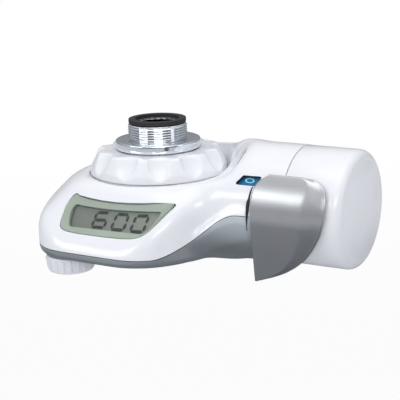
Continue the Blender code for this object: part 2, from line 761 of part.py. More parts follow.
def display_frame():
    """Origin on the sloping front face, with its directions across, up and out."""
    up = Vector((0.0, math.sin(FRONT_TILT), math.cos(FRONT_TILT)))
    out = Vector((0.0, -math.cos(FRONT_TILT), math.sin(FRONT_TILT)))
    origin = Vector((0.0, FRONT_Y, DECK_Z - FRONT_DROP)) - up * DISPLAY_TOP_DROP
    return origin, Vector((1, 0, 0)), up, out


def rounded_outline(corners, radii, steps=5):
    """Round each corner of a polygon with an arc of its own radius."""
    outline = []
    count = len(corners)
    for i, (corner, radius) in enumerate(zip(corners, radii)):
        here = Vector(corner)
        before = (Vector(corners[i - 1]) - here).normalized()
        after = (Vector(corners[(i + 1) % count]) - here).normalized()
        half = before.angle(after) / 2
        reach = radius / math.tan(half)
        center = here + (before + after).normalized() * (radius / math.sin(half))
        start = here + before * reach - center
        end = here + after * reach - center
        sweep = start.angle_signed(end)
        for k in range(steps + 1):
            turn = Matrix.Rotation(-sweep * k / steps, 2)
            outline.append(tuple(center + turn @ start))
    return outline


def display_outline(shrink):
    """The display's outline: a leaning left side, a dipped top and a slanted right side."""
    left = DISPLAY_LEFT + shrink
    right = DISPLAY_RIGHT - 1.15 * shrink
    top = -shrink
    bottom = -DISPLAY_HEIGHT + 0.72 * shrink
    slant_right = DISPLAY_RIGHT - DISPLAY_SLANT - 0.25 * shrink
    corners = [(left - 0.0006, bottom), (slant_right, bottom), (right, top + 0.0010), (left + 0.0024, top)]
    small = 0.0008
    big = max(DISPLAY_CORNER - 0.45 * shrink, small)
    outline = rounded_outline(corners, (big, 1.6 * big, small, big))
    # The top side sags between its corners, following the ring nut above it.
    middle = (left + right) / 2
    half = (right - left) / 2
    top_left = max(point[0] for point in outline[-6:])
    top_right = min(point[0] for point in outline[12:18])
    dip = DISPLAY_DIP * (1.0 - 0.18 * shrink / DISPLAY_MARGIN)
    for k in range(1, 12):
        x = top_right + (top_left - top_right) * k / 12
        sag = dip * (1.0 - ((x - middle) / half) ** 2)
        level = top + 0.0010 * (x - left) / (right - left) - sag
        outline.insert(17 + k, (x, level))
    return outline


def build_housing(white, grey):
    """Both shells, cut from one smooth hollow form along the joint line."""
    upper = skin_solid("upper_housing", body_field, BARREL_END + 0.004, SKIN_FACETS)
    hollow = skin_solid("hollow", hollow_field, BARREL_END + 0.002, HOLLOW_FACETS)
    beyond = 2.0 * BARREL_ROOT_RADIUS
    end = rod("end", beyond, BARREL_END, BARREL_END + 0.010, center=BARREL_AXIS, along="X", steps=36)
    bore = rod("bore", HOUSING_BORE, BAY_START, BARREL_END + 0.001, center=BARREL_AXIS, along="X", steps=36)
    cut(upper, end, hollow, bore, lever_slot())
    lower = bpy.data.objects.new("lower_housing", upper.data.copy())
    bpy.context.collection.objects.link(lower)
    upper.data.materials.append(white)
    lower.data.materials.append(grey)
    combine(upper, split_tool("side", True, 0.0), "INTERSECT")
    cut(upper, pocket_tool())
    combine(lower, split_tool("side", False, -GAP), "INTERSECT")
    finish_upper(upper)
    finish_lower(lower)
    return upper, lower


def lever_slot():
    """The slot that lets the lever's web swing round the barrel."""
    low = WEB_ANGLE - WEB_SPAN / 2 - math.radians(2.0)
    high = WEB_ANGLE + WEB_SPAN / 2 + LEVER_SWING + math.radians(2.0)
    return arc_patch("slot", DRUM_RADIUS - 0.001, BARREL_ROOT_RADIUS + 0.003, WEB_START - GAP,
                     WEB_START + WEB_WIDTH + GAP, low, high, steps=16)


def finish_upper(upper):
    origin, across, up, out = display_frame()
    opening = prism("opening", display_outline(0.0), origin, across, up, -0.008, 0.006)
    inlet = rod("inlet", INLET_TUBE_RADIUS + GAP, DECK_Z - 0.006, DECK_Z + 0.002)
    window = arc_patch("window", DRUM_RADIUS - 0.001, BARREL_ROOT_RADIUS + 0.002, WINDOW_START,
                       WINDOW_START + WINDOW_WIDTH, WINDOW_LOW_ANGLE, WINDOW_HIGH_ANGLE)
    cut(upper, opening, inlet, window)
    for x, y in SCREW_PLACES:
        join(upper, rod("boss", BOSS_RADIUS, BOSS_LOW_Z, DECK_Z - WALL / 2, center=(x, y, 0), steps=20))
        cut(upper, rod("pilot", SCREW_SHANK + GAP, BOSS_LOW_Z - GAP, FLOOR_TOP_Z + 0.010, center=(x, y, 0),
                       steps=12))


def finish_lower(lower):
    cut(lower, rod("outlet", NOZZLE_RADIUS + GAP, RIM_Z - 0.002, FLOOR_TOP_Z + 0.004, center=OUTLET))
    for x, y in SCREW_PLACES:
        place = (x, y, 0)
        cut(lower,
            rod("room", BOSS_RADIUS + GAP, BOSS_LOW_Z - GAP, FLOOR_TOP_Z + 0.016, center=place, steps=20),
            rod("clear", SCREW_SHANK + GAP, RIM_Z - 0.002, FLOOR_TOP_Z + 0.002, center=place, steps=12),
            rod("sink", SCREW_HEAD + GAP, RIM_Z - 0.002, RIM_Z + WALL / 2, center=place, steps=20))


def build_housing_screws(material):
    """Pan-head screws driven up from below, each with a cross-cut drive."""
    screws = []
    for number, (x, y) in enumerate(SCREW_PLACES, start=1):
        head_top = RIM_Z + WALL / 2 - GAP
        head_low = head_top - SCREW_HEAD_HEIGHT
        tip = FLOOR_TOP_Z + 0.0085
        profile = [
            (0.0, head_low),
            (SCREW_HEAD - 0.0005, head_low),
            (SCREW_HEAD, head_low + 0.0005),
            (SCREW_HEAD, head_top),
            (SCREW_SHANK, head_top),
            (SCREW_SHANK, tip - 0.0010),
            (0.0, tip),
        ]
        screw = turned(f"housing_screw_{number}", profile, material, center=(x, y, 0), steps=20)
        arm = 0.0014
        half = 0.0003
        low = head_low - GAP
        high = head_low + 0.0008
        cut(screw, block("drive", (x - arm, y - half, low), (x + arm, y + half, high)),
            block("drive", (x - half, y - arm, low), (x + half, y + arm, high)))
        screws.append(screw)
    return screws


# Display

def build_display(colors):
    origin, across, up, out = display_frame()
    face = -BEZEL_SINK
    back = face - BEZEL_DEPTH
    bezel = prism("display_bezel", display_outline(GAP), origin, across, up, back, face, colors["bezel"])
    cut(bezel, prism("opening", display_outline(DISPLAY_MARGIN), origin, across, up, back - 0.001,
                     face + 0.001))
    lens_face = face - LENS_SINK
    lens = prism("display_window", display_outline(DISPLAY_MARGIN + GAP), origin, across, up,
                 lens_face - LENS_THICKNESS, lens_face, colors["clear"])
    lcd_face = back - GAP
    lcd = prism("lcd_panel", display_outline(DISPLAY_MARGIN - 0.0008), origin, across, up,
                lcd_face - LCD_THICKNESS, lcd_face, colors["lcd"])
    board_face = lcd_face - LCD_THICKNESS - BOARD_GAP
    board_back = board_face - BOARD_THICKNESS
    board_left = DISPLAY_LEFT + 0.0110
    board_low = -DISPLAY_HEIGHT + 0.0018
    board_outline = rounded_outline(
        [(board_left, board_low), (0.0130, board_low), (0.0130, -0.0028), (board_left, -0.0028)],
        (0.0010, 0.0010, 0.0010, 0.0010), 2)
    board = prism("circuit_board", board_outline, origin, across, up, board_back, board_face, colors["board"])
    battery_center = origin + across * 0.0012 - up * (DISPLAY_HEIGHT - 0.0082)
    battery_face = board_back - GAP
    battery = disc_on_board("battery", BATTERY_RADIUS, battery_center, out, battery_face - BATTERY_THICKNESS,
                            battery_face, colors["steel"])
    clip = disc_on_board("battery_holder", BATTERY_RADIUS + 0.0014, battery_center, out,
                         battery_face - BATTERY_THICKNESS - 0.0006, battery_face, colors["black"])
    cut(clip, disc_on_board("room", BATTERY_RADIUS + GAP, battery_center, out,
                            battery_face - BATTERY_THICKNESS - 0.0020, battery_face + 0.001, None))
    return bezel, lens, lcd, board, battery, clip


def disc_on_board(name, radius, center, out, low, high, material):
    """A round piece whose axis stands square to the sloping display."""
    bm = turned_bmesh([(0.0, low), (radius, low), (radius, high), (0.0, high)], 32)
    turn = Vector((0, 0, 1)).rotation_difference(out).to_matrix()
    bmesh.ops.rotate(bm, verts=bm.verts, cent=(0, 0, 0), matrix=turn)
    bmesh.ops.translate(bm, verts=bm.verts, vec=center)
    return add_object(name, bm, material)


# Water manifold, outlet and flow meter

def channel_start():
    return Vector((CHANNEL_TURN_X, BARREL_Y, CHANNEL_Z))


def channel_end():
    return Vector((OUTLET_X, OUTLET_Y, CHANNEL_Z))


def turbine_place():
    """The flow meter stands beside the channel's middle line."""
    along = (channel_end() - channel_start()).normalized()
    aside = Vector((-along.y, along.x, 0.0))
    place = channel_start().lerp(channel_end(), TURBINE_ALONG) - aside * TURBINE_ASIDE
    return Vector((place.x, place.y, METER_FLOOR_Z))


def build_manifold(material):
    """The moulded water body: inlet collar, channels, flow chamber and cartridge bay."""
    block_low = BARREL_Z - CHANNEL_RADIUS
    block_high = DECK_Z - WALL - RUN_CLEARANCE - 0.0010
    body = turned("water_manifold", [
        (0.0, block_low),
        (INLET_TUBE_RADIUS, block_low),
        (INLET_TUBE_RADIUS, FLANGE_Z),
        (ADAPTER_SKIRT_RADIUS - GAP, FLANGE_Z),
        (ADAPTER_SKIRT_RADIUS - GAP, FLANGE_TOP_Z),
        (0.0, FLANGE_TOP_Z),
    ], material)
    meter = turbine_place()
    join(body,
         block("body", (0.0, -0.0085, block_low), (BAY_START + 0.001, 0.0100, block_high)),
         rod("bay", BAY_RADIUS, BAY_START, BAY_END, center=BARREL_AXIS, along="X", steps=28),
         rod("shoulder", DRUM_RADIUS, BAY_START + GAP, DRUM_START - GAP, center=BARREL_AXIS, along="X",
             steps=28),
         rod("turn", CHANNEL_RADIUS + 0.0003, CHANNEL_Z - CHANNEL_RADIUS, BARREL_Z,
             center=(CHANNEL_TURN_X, BARREL_Y, 0), steps=20),
         rod_between("arm", channel_start(), channel_end(), CHANNEL_RADIUS),
         rod("elbow", CHANNEL_RADIUS, NOZZLE_TOP_Z - 0.0010, CHANNEL_Z + 0.0029, center=OUTLET, steps=20),
         rod("nozzle", NOZZLE_RADIUS, RIM_Z - NOZZLE_DROP, NOZZLE_TOP_Z, center=OUTLET),
         rod("meter", METER_RADIUS, FLOOR_TOP_Z + RUN_CLEARANCE, METER_TOP_Z, center=(meter.x, meter.y, 0)))
    cut(body,
        rod("inlet", INLET_BORE, BARREL_Z + CHANNEL_BORE, FLANGE_TOP_Z + 0.001),
        rod("step", ADAPTER_BORE, FLANGE_TOP_Z - STRAINER_THICKNESS - GAP, FLANGE_TOP_Z + 0.001),
        rod("hollow", BAY_BORE, BAY_START + BAY_FLOOR, BAY_END + 0.001, center=BARREL_AXIS, along="X",
            steps=28))
    join(body, rod("port", PORT_RADIUS, BAY_START + 0.001, BAY_START + BAY_FLOOR + PORT_LENGTH - 0.0008,
                   center=BARREL_AXIS, along="X", steps=24))
    raw = Vector((0.0, 0.0060, BARREL_Z + 0.0048))
    cut(body,
        rod("filtered", PORT_BORE, CHANNEL_TURN_X, BAY_END, center=BARREL_AXIS, along="X", steps=20),
        rod("down", CHANNEL_BORE, CHANNEL_Z, BARREL_Z + 0.001, center=(CHANNEL_TURN_X, BARREL_Y, 0),
            steps=20),
        rod_between("channel", channel_start(), channel_end(), CHANNEL_BORE),
        rod("raw", 0.0022, 0.0030, BAY_START + BAY_FLOOR + 0.001, center=raw, along="X", steps=16),
        rod("elbow", CHANNEL_BORE, NOZZLE_TOP_Z - 0.0030, CHANNEL_Z, center=OUTLET, steps=16),
        rod("spout", NOZZLE_BORE, RIM_Z - NOZZLE_DROP - 0.001, NOZZLE_TOP_Z - 0.0014, center=OUTLET,
            steps=24),
        rod("chamber", TURBINE_RADIUS + RUN_CLEARANCE, METER_FLOOR_Z, METER_TOP_Z + 0.001,
            center=(meter.x, meter.y, 0)))
    for radius, x, steps in ((BAY_RADIUS, DRUM_START + SEAL_INSET, 28), (PORT_RADIUS, PORT_SEAL_X, 24),
                             (BAY_RADIUS, DRUM_START + DRUM_LENGTH - SEAL_INSET, 28)):
        half = GROOVE_WIDTH / 2
        cut(body, tube("groove", radius - GROOVE_DEPTH, radius + 0.001, x - half, x + half,
                       center=BARREL_AXIS, along="X", steps=steps))
    return body


def build_drum_seals(material):
    """Two O-rings in the bay's grooves, just inside the selector drum."""
    seals = []
    for name, x in (("drum_seal_inner", DRUM_START + SEAL_INSET),
                    ("drum_seal_outer", DRUM_START + DRUM_LENGTH - SEAL_INSET)):
        seals.append(ring_seal(name, BAY_RADIUS - 0.0001, SEAL_SECTION, x, material, BARREL_AXIS, "X"))
    return seals


def build_port_seal(material):
    middle = PORT_RADIUS - 0.00035
    return ring_seal("port_seal", middle, SEAL_SECTION, PORT_SEAL_X, material, BARREL_AXIS, "X")


def build_turbine(blade_material, steel):
    """A paddle wheel on an upright axle, with the plate that closes its chamber."""
    place = turbine_place()
    low = METER_FLOOR_Z + RUN_CLEARANCE
    top = METER_TOP_Z - METER_SPIGOT - RUN_CLEARANCE
    center = (place.x, place.y, 0)
    hub = 0.0020
    wheel = rod("flow_turbine", hub, low, top, blade_material, center, steps=20)
    blade_low = low + 0.0004
    blade_high = top - 0.0004
    for i in range(TURBINE_BLADES):
        turn = math.pi * 2.0 * i / TURBINE_BLADES
        bm = bmesh.new()
        bmesh.ops.create_cube(bm, size=1.0)
        bmesh.ops.scale(bm, verts=bm.verts, vec=(TURBINE_RADIUS - 0.001, 0.0008, blade_high - blade_low))
        middle = (TURBINE_RADIUS + 0.001) / 2
        bmesh.ops.translate(bm, verts=bm.verts, vec=(middle, 0.0, (blade_low + blade_high) / 2))
        bmesh.ops.rotate(bm, verts=bm.verts, cent=(0, 0, 0), matrix=Matrix.Rotation(turn, 3, "Z"))
        bmesh.ops.translate(bm, verts=bm.verts, vec=center)
        join(wheel, add_object("blade", bm))
    cut(wheel, rod("bore", AXLE_RADIUS + GAP, low - 0.001, top + 0.001, center=center, steps=16))
    plate_low = METER_TOP_Z + GAP
    plate = rod("turbine_cover", METER_RADIUS, plate_low, plate_low + METER_COVER, blade_material, center)
    join(plate, rod("spigot", TURBINE_RADIUS, METER_TOP_Z - METER_SPIGOT, plate_low + 0.0005, center=center))
    cut(plate, rod("seat", AXLE_RADIUS + GAP, METER_TOP_Z - METER_SPIGOT - 0.001, METER_TOP_Z + 0.0010,
                   center=center, steps=16))
    axle = rod("turbine_axle", AXLE_RADIUS, METER_FLOOR_Z + GAP, METER_TOP_Z + 0.0010 - GAP, steel, center,
               steps=16)
    return wheel, plate, axle


def build_outlet(white, steel, rubber):
    """The ribbed collar with its aerator disc and gasket under the nozzle."""
    top = RIM_Z - GAP
    low = RIM_Z - COLLAR_DROP
    count = COLLAR_RIBS * 4
    rings = []
    for height, radius in ((top, COLLAR_TOP_RADIUS - 0.0004), (top - 0.0006, COLLAR_TOP_RADIUS),
                           (low + 0.0008, COLLAR_RADIUS), (low, COLLAR_RADIUS - 0.0008)):
        ring = []
        for i in range(count):
            turn = 2.0 * math.pi * i / count
            proud = COLLAR_RIB_DEPTH if i % 4 in (0, 1) else 0.0
            reach = radius - proud
            ring.append(OUTLET + Vector((reach * math.cos(turn), reach * math.sin(turn), height)))
        rings.append(ring)
    collar = lofted("outlet_collar", rings, white)
    mouth = NOZZLE_RADIUS - 0.0008
    cut(collar, rod("bore", NOZZLE_RADIUS + GAP, low + COLLAR_LIP, top + 0.001, center=OUTLET),
        rod("mouth", mouth, low - 0.001, low + COLLAR_LIP + 0.001, center=OUTLET))
    nozzle_end = RIM_Z - NOZZLE_DROP
    disc_low = low + COLLAR_LIP + GAP
    gasket_top = nozzle_end - GAP
    gasket_low = gasket_top - 0.0006
    disc_radius = NOZZLE_RADIUS - 0.0001
    disc = rod("aerator_disc", disc_radius, disc_low, gasket_low - GAP, steel, OUTLET)
    for ring_radius, holes in ((0.0, 1), (0.0040, 6)):
        for i in range(holes):
            turn = 2.0 * math.pi * i / holes
            place = OUTLET + Vector((ring_radius * math.cos(turn), ring_radius * math.sin(turn), 0.0))
            cut(disc, rod("hole", AERATOR_HOLE, disc_low - 0.001, nozzle_end, center=place, steps=8))
    gasket = tube("outlet_gasket", NOZZLE_BORE + 2.0 * GAP, disc_radius, gasket_low, gasket_top, rubber,
                  OUTLET)
    return collar, disc, gasket


# Selector

def lever_path(distance):
    """Point and outward direction on the lever's inner face, from its top edge to its tip."""
    arc = lever_length() - LEVER_BLADE_LENGTH
    if distance <= arc:
        angle = LEVER_TOP_ANGLE - distance / LEVER_INNER
        out = Vector((0.0, -math.cos(angle), math.sin(angle)))
        return out * LEVER_INNER + BARREL_AXIS, out
    bend = Vector((0.0, -math.cos(LEVER_BEND_ANGLE), math.sin(LEVER_BEND_ANGLE)))
    start = bend * LEVER_INNER + BARREL_AXIS
    turn_share = min((distance - arc) / LEVER_BEND_LENGTH, 1.0)
    lean = LEVER_BEND_ANGLE * (1.0 - turn_share) - LEVER_BLADE_LEAN * turn_share
    down = Vector((0.0, math.sin(LEVER_BLADE_LEAN), -math.cos(LEVER_BLADE_LEAN)))
    return start + down * (distance - arc), Vector((0.0, -math.cos(lean), math.sin(lean)))


def lever_length():
    return (LEVER_TOP_ANGLE - LEVER_BEND_ANGLE) * LEVER_INNER + LEVER_BLADE_LENGTH


def along_line(points, share):
    """Place along X of a line that is given as (share of the lever's length, place)."""
    return float(np.interp(share, [point[0] for point in points], [point[1] for point in points]))


def lever_height(x, left, right, crease):
    """Thickness across the lever: full on the front face, falling past the crease."""
    fall = min(max((x - crease) / max(right - crease, GAP), 0.0), 1.0)
    rim = min(max(min(x - left, right - x) / LEVER_EDGE, 0.0), 1.0)
    return LEVER_THICKNESS - (LEVER_THICKNESS - LEVER_EDGE) * fall - LEVER_EDGE * 0.4 * (1.0 - rim)


def build_lever(material):
    """The curved lever with its bevelled sweep, and the web that drives the drum."""
    places = (0.0, 0.012, 0.04, 0.08, 0.10, 0.13, 0.17, 0.22, 0.27, 0.32, 0.37, 0.42, 0.47, 0.52, 0.56,
              0.60, 0.65, 0.70, 0.75, 0.80, 0.85, 0.90, 0.95, 0.985, 1.0)
    rings = []
    for share in places:
        left = along_line(LEVER_LEFT_LINE, share)
        right = along_line(LEVER_RIGHT_LINE, share)
        crease = min(along_line(LEVER_CREASE_LINE, share), right - GAP)
        place, out = lever_path(share * lever_length())
        near = left + min(LEVER_EDGE, (crease - left) / 4)
        stops = [left, near]
        stops += [near + (crease - near) * k / 5 for k in range(1, 6)]
        stops += [crease + (right - crease) * k / 4 for k in (1, 2, 3)]
        stops += [crease + (right - crease) * 0.92, right]
        inner = [place + Vector((x, 0, 0)) for x in stops]
        outer = [point + out * lever_height(point.x, left, right, crease) for point in inner]
        rings.append(outer + inner[::-1])
    lever = lofted("selector_lever", rings, material)
    join(lever, arc_patch("web", DRUM_RADIUS - WEB_FOOT, LEVER_INNER + 0.6 * LEVER_THICKNESS, WEB_START,
                          WEB_START + WEB_WIDTH, WEB_ANGLE - WEB_SPAN / 2, WEB_ANGLE + WEB_SPAN / 2))
    return lever


def build_drum(material):
    """The selector drum: a ring valve with ports, a socket for the lever and a label recess."""
    drum = tube("selector_drum", DRUM_BORE, DRUM_RADIUS, DRUM_START, DRUM_START + DRUM_LENGTH, material,
                BARREL_AXIS, "X", 40)
    cut(drum, arc_patch("socket", DRUM_RADIUS - WEB_FOOT - GAP, DRUM_RADIUS + 0.002, WEB_START - GAP,
                        WEB_START + WEB_WIDTH + GAP, WEB_ANGLE - WEB_SPAN / 2 - 0.016,
                        WEB_ANGLE + WEB_SPAN / 2 + 0.016),
        label_patch("recess", DRUM_RADIUS - LABEL_THICKNESS, DRUM_RADIUS + 0.002, GAP, None))
    for turn in (math.radians(100.0), math.radians(220.0)):
        start = barrel_point(DRUM_START + DRUM_LENGTH / 2, DRUM_BORE - 0.002, turn)
        end = barrel_point(DRUM_START + DRUM_LENGTH / 2, DRUM_RADIUS + 0.002, turn)
        cut(drum, rod_between("port", start, end, 0.0025))
    return drum


def label_patch(name, inner, outer, margin, material):
    span = LEVER_SWING + LABEL_TOP_ANGLE - WINDOW_LOW_ANGLE + math.radians(8.0)
    angle_margin = margin / DRUM_RADIUS
    return arc_patch(name, inner, outer, LABEL_START - margin, LABEL_START + LABEL_WIDTH + margin,
                     LABEL_TOP_ANGLE - span - angle_margin, LABEL_TOP_ANGLE + angle_margin, material, 20)


def build_retaining_ring(material):
    low = DRUM_START + DRUM_LENGTH + GAP
    high = BARREL_END - GAP
    return tube("drum_retaining_ring", BAY_RADIUS + GAP, DRUM_RADIUS - GAP, low, high, material, BARREL_AXIS,
                "X", 28)


# Cartridge and cover

def build_cartridge(colors):
    start = CARTRIDGE_START
    end = start + CARTRIDGE_LENGTH
    wall = CARTRIDGE_WALL
    inside = CARTRIDGE_RADIUS - wall
    shell = turned("cartridge_shell", [
        (PORT_RADIUS + RUN_CLEARANCE + 0.0016, start - PORT_LENGTH + 0.0006),
        (PORT_RADIUS + RUN_CLEARANCE + 0.0016, start),
        (CARTRIDGE_RADIUS - 0.0010, start),
        (CARTRIDGE_RADIUS, start + 0.0010),
        (CARTRIDGE_RADIUS, end),
        (inside, end),
        (inside, start + wall),
        (CORE_BORE + 0.0005, start + wall),
        (CORE_BORE + 0.0005, start),
        (PORT_RADIUS + RUN_CLEARANCE, start),
        (PORT_RADIUS + RUN_CLEARANCE, start - PORT_LENGTH + 0.0006),
    ], colors["cartridge"], BARREL_AXIS, "X", 28)
    for i in range(6):
        angle = math.radians(30.0 + 60.0 * i)
        first = barrel_point(start + INTAKE_INSET, inside - 0.001, angle)
        last = barrel_point(start + INTAKE_INSET, CARTRIDGE_RADIUS + 0.001, angle)
        cut(shell, rod_between("intake", first, last, INTAKE_RADIUS, 10))
    block_start = start + wall + GAP
    block_end = end - 0.0004
    filter_block = tube("filter_block", BLOCK_BORE, inside - GAP, block_start, block_end, colors["carbon"],
                        BARREL_AXIS, "X", 28)
    core = tube("core_tube", CORE_BORE, BLOCK_BORE - GAP, block_start, block_end, colors["cartridge"],
                BARREL_AXIS, "X", 24)
    plate_start = end + GAP
    plate = turned("cartridge_end_plate", [
        (0.0, plate_start),
        (CARTRIDGE_RADIUS, plate_start),
        (CARTRIDGE_RADIUS, plate_start + 0.0010),
        (CARTRIDGE_RADIUS - 0.0008, plate_start + END_PLATE),
        (0.0, plate_start + END_PLATE),
    ], colors["white"], BARREL_AXIS, "X", 28)
    half = 0.0090
    grip_end = plate_start + END_PLATE + GRIP_HEIGHT
    grip = block("grip", (plate_start + 0.001, BARREL_Y - half, BARREL_Z - GRIP_THICKNESS / 2),
                 (grip_end, BARREL_Y + half, BARREL_Z + GRIP_THICKNESS / 2))
    join(plate, grip)
    return shell, filter_block, core, plate


def build_cover(material):
    """The barrel's end cover: a cup with a rounded edge and a slightly domed face."""
    start = COVER_START
    rounding_start = start + COVER_LENGTH - COVER_EDGE
    profile = [
        (BAY_RADIUS + RUN_CLEARANCE, start),
        (COVER_RADIUS - 0.0003, start),
        (COVER_RADIUS, start + 0.0003),
        (COVER_RADIUS - 0.0001, rounding_start),
    ]
    for k in range(1, 5):
        turn = math.radians(22.5 * k)
        profile.append((COVER_RADIUS - 0.0001 - COVER_EDGE * (1.0 - math.cos(turn)),
                        rounding_start + COVER_EDGE * math.sin(turn)))
    rim = profile[-1][0]
    for k in range(1, 4):
        share = 1.0 - k / 3
        profile.append((rim * share, rounding_start + COVER_EDGE + COVER_CROWN * (1.0 - share ** 2)))
    end = rounding_start + COVER_EDGE - COVER_WALL
    inside = COVER_RADIUS - COVER_WALL
    profile += [
        (0.0, end + COVER_CROWN),
        (inside - COVER_EDGE, end),
        (inside, end - COVER_EDGE),
        (inside, start + COVER_SKIRT + 0.0008),
        (BAY_RADIUS + RUN_CLEARANCE, start + COVER_SKIRT),
    ]
    bm = turned_bmesh_mixed(profile, 36)
    bmesh.ops.rotate(bm, verts=bm.verts, cent=(0, 0, 0), matrix=Matrix.Rotation(math.pi / 2, 3, "Y"))
    bmesh.ops.translate(bm, verts=bm.verts, vec=BARREL_AXIS)
    return add_object("cartridge_cover", bm, material)


def turned_bmesh_mixed(profile, steps):
    """Spin a closed cup profile, two of whose neighbouring points lie on the axis."""
    bm = bmesh.new()
    points = [bm.verts.new((radius, 0.0, height)) for radius, height in profile]
    edges = []
    count = len(points)
    for i in range(count):
        j = (i + 1) % count
        if profile[i][0] > 0.0 or profile[j][0] > 0.0:
            edges.append(bm.edges.new((points[i], points[j])))
    bmesh.ops.spin(bm, geom=points + edges, cent=(0, 0, 0), axis=(0, 0, 1),
                   angle=2.0 * math.pi, steps=steps, use_merge=True)
    bmesh.ops.remove_doubles(bm, verts=bm.verts, dist=1e-7)
    return bm


def build_cover_gasket(material):
    low = BAY_END + GAP
    return tube("cover_gasket", CARTRIDGE_RADIUS + GAP, BAY_RADIUS, low, low + WASHER_THICKNESS, material,
                BARREL_AXIS, "X", 28)


def make_palette():
    return {
        "white": make_material("white_gloss", (0.86, 0.87, 0.90), 0.18),
        "grey": make_material("grey_satin", (0.16, 0.19, 0.21), 0.35),
        "lever": make_material("silver_paint", (0.40, 0.41, 0.43), 0.32, 0.8),
        "chrome": make_material("chrome_plate", (0.80, 0.83, 0.86), 0.06, 1.0),
        "steel": make_material("stainless", (0.55, 0.56, 0.58), 0.3, 1.0),
        "rubber": make_material("black_rubber", (0.03, 0.03, 0.03), 0.7),
        "natural": make_material("natural_plastic", (0.70, 0.71, 0.70), 0.4),
        "blue": make_material("blue_label", (0.02, 0.15, 0.35), 0.3),
        "bezel": make_material("pale_green_frame", (0.40, 0.47, 0.37), 0.4),
        "clear": make_material("clear_lens", (0.80, 0.84, 0.82), 0.05, 0.0, 0.2),
        "lcd": make_material("lcd_grey", (0.21, 0.22, 0.20), 0.3),
        "board": make_material("board_green", (0.03, 0.18, 0.08), 0.4),
        "black": make_material("black_plastic", (0.04, 0.04, 0.04), 0.5),
        "cartridge": make_material("cartridge_white", (0.75, 0.77, 0.80), 0.35),
        "carbon": make_material("pressed_carbon", (0.03, 0.03, 0.035), 0.9),
    }


def build_all():
    clear_scene()
    colors = make_palette()
    build_tap_adapter(colors["chrome"])
    build_adapter_washer(colors["rubber"])
    build_inlet_seal(colors["rubber"])
    build_inlet_strainer(colors["steel"])
    build_housing(colors["white"], colors["grey"])
    build_housing_screws(colors["steel"])
    build_display(colors)
    build_manifold(colors["natural"])
    build_drum_seals(colors["rubber"])
    build_port_seal(colors["rubber"])
    build_retaining_ring(colors["natural"])

    nut_axis = axis_empty("nut_axis", (0, 0, NUT_BASE_Z))
    hang_on(nut_axis, build_ring_nut(colors["white"]))

    place = turbine_place()
    turbine_axis = axis_empty("turbine_axis", (place.x, place.y, place.z))
    wheel, _, _ = build_turbine(colors["natural"], colors["steel"])
    hang_on(turbine_axis, wheel)

    outlet_axis = axis_empty("outlet_axis", (OUTLET_X, OUTLET_Y, RIM_Z))
    hang_on(outlet_axis, *build_outlet(colors["white"], colors["steel"], colors["rubber"]))

    selector_axis = axis_empty("selector_axis", (DRUM_START, BARREL_Y, BARREL_Z))
    label = label_patch("selector_label", DRUM_RADIUS - LABEL_THICKNESS + GAP, DRUM_RADIUS + 0.0001, 0.0,
                        colors["blue"])
    hang_on(selector_axis, build_lever(colors["lever"]), build_drum(colors["natural"]), label)

    cartridge_axis = axis_empty("cartridge_axis", (CARTRIDGE_START, BARREL_Y, BARREL_Z))
    hang_on(cartridge_axis, *build_cartridge(colors))
    cover_axis = axis_empty("cover_axis", (COVER_START, BARREL_Y, BARREL_Z))
    hang_on(cover_axis, build_cover(colors["white"]), build_cover_gasket(colors["rubber"]))


def finish_meshes():
    for item in bpy.data.objects:
        if item.type == "MESH":
            clean_mesh(item.data, math.radians(0.3))
            item.data.shade_smooth()
            item.data.set_sharp_from_angle(angle=math.radians(35.0))


build_all()
finish_meshes()
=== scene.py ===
"""Faucet mount water filter: fine surfaces, finishes, studio light and camera."""
import json
import math

import bmesh
import bpy
import numpy as np
from mathutils import Matrix, Vector


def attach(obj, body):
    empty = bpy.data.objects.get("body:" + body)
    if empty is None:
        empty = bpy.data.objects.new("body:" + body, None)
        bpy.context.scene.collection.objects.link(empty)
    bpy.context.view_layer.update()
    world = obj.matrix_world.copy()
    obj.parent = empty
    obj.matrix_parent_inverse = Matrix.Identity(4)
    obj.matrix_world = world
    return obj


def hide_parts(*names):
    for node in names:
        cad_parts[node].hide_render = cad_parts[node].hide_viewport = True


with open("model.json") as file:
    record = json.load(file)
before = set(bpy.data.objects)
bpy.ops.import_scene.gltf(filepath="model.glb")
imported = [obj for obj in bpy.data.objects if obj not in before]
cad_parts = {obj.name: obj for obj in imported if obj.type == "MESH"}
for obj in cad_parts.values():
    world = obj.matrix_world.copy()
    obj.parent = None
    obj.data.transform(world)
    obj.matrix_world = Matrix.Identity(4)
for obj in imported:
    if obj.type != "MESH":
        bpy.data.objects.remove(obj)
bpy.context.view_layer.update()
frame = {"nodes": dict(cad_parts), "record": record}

# Sizes of the unit, in metres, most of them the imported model's own
GAP = 0.0003
WALL = 0.0020
NUT_RADIUS = 0.0280
NUT_TOP_RADIUS = 0.0243
NUT_TOP_Z = -0.0037
NUT_BASE_Z = -0.0131
NUT_SCALLOPS = 12
SCALLOP_TURN = math.radians(2.3)
SCALLOP_DEPTH = 0.0025
SCALLOP_HALF_WIDTH = 0.0051
SCALLOP_LENGTH = 0.0069
SCALLOP_FULLNESS = 0.62
SEAM_WIDTH = 0.0012
SEAM_DEPTH = 0.0012
SKIRT_RADIUS = 0.0158
SKIRT_Z = -0.0078
INLET_RADIUS = 0.0120
ADAPTER_RADIUS = 0.0173
ADAPTER_BORE = 0.0090
ADAPTER_RING = 0.0034
THREAD_RADIUS = 0.0120
THREAD_LENGTH = 0.0066
THREAD_PITCH = 0.0010
DECK_Z = -0.0134
RIM_Z = -0.0414
POCKET_RADIUS = 0.0286
POCKET_EASE = 0.0012
POCKET_SHALLOW = 0.30
POCKET_STEEP = 2.90
POCKET_WALL = 5.1
POCKET_ROUND = 0.0060
POCKET_END = 0.0390
POCKET_CLIMB = 320.0
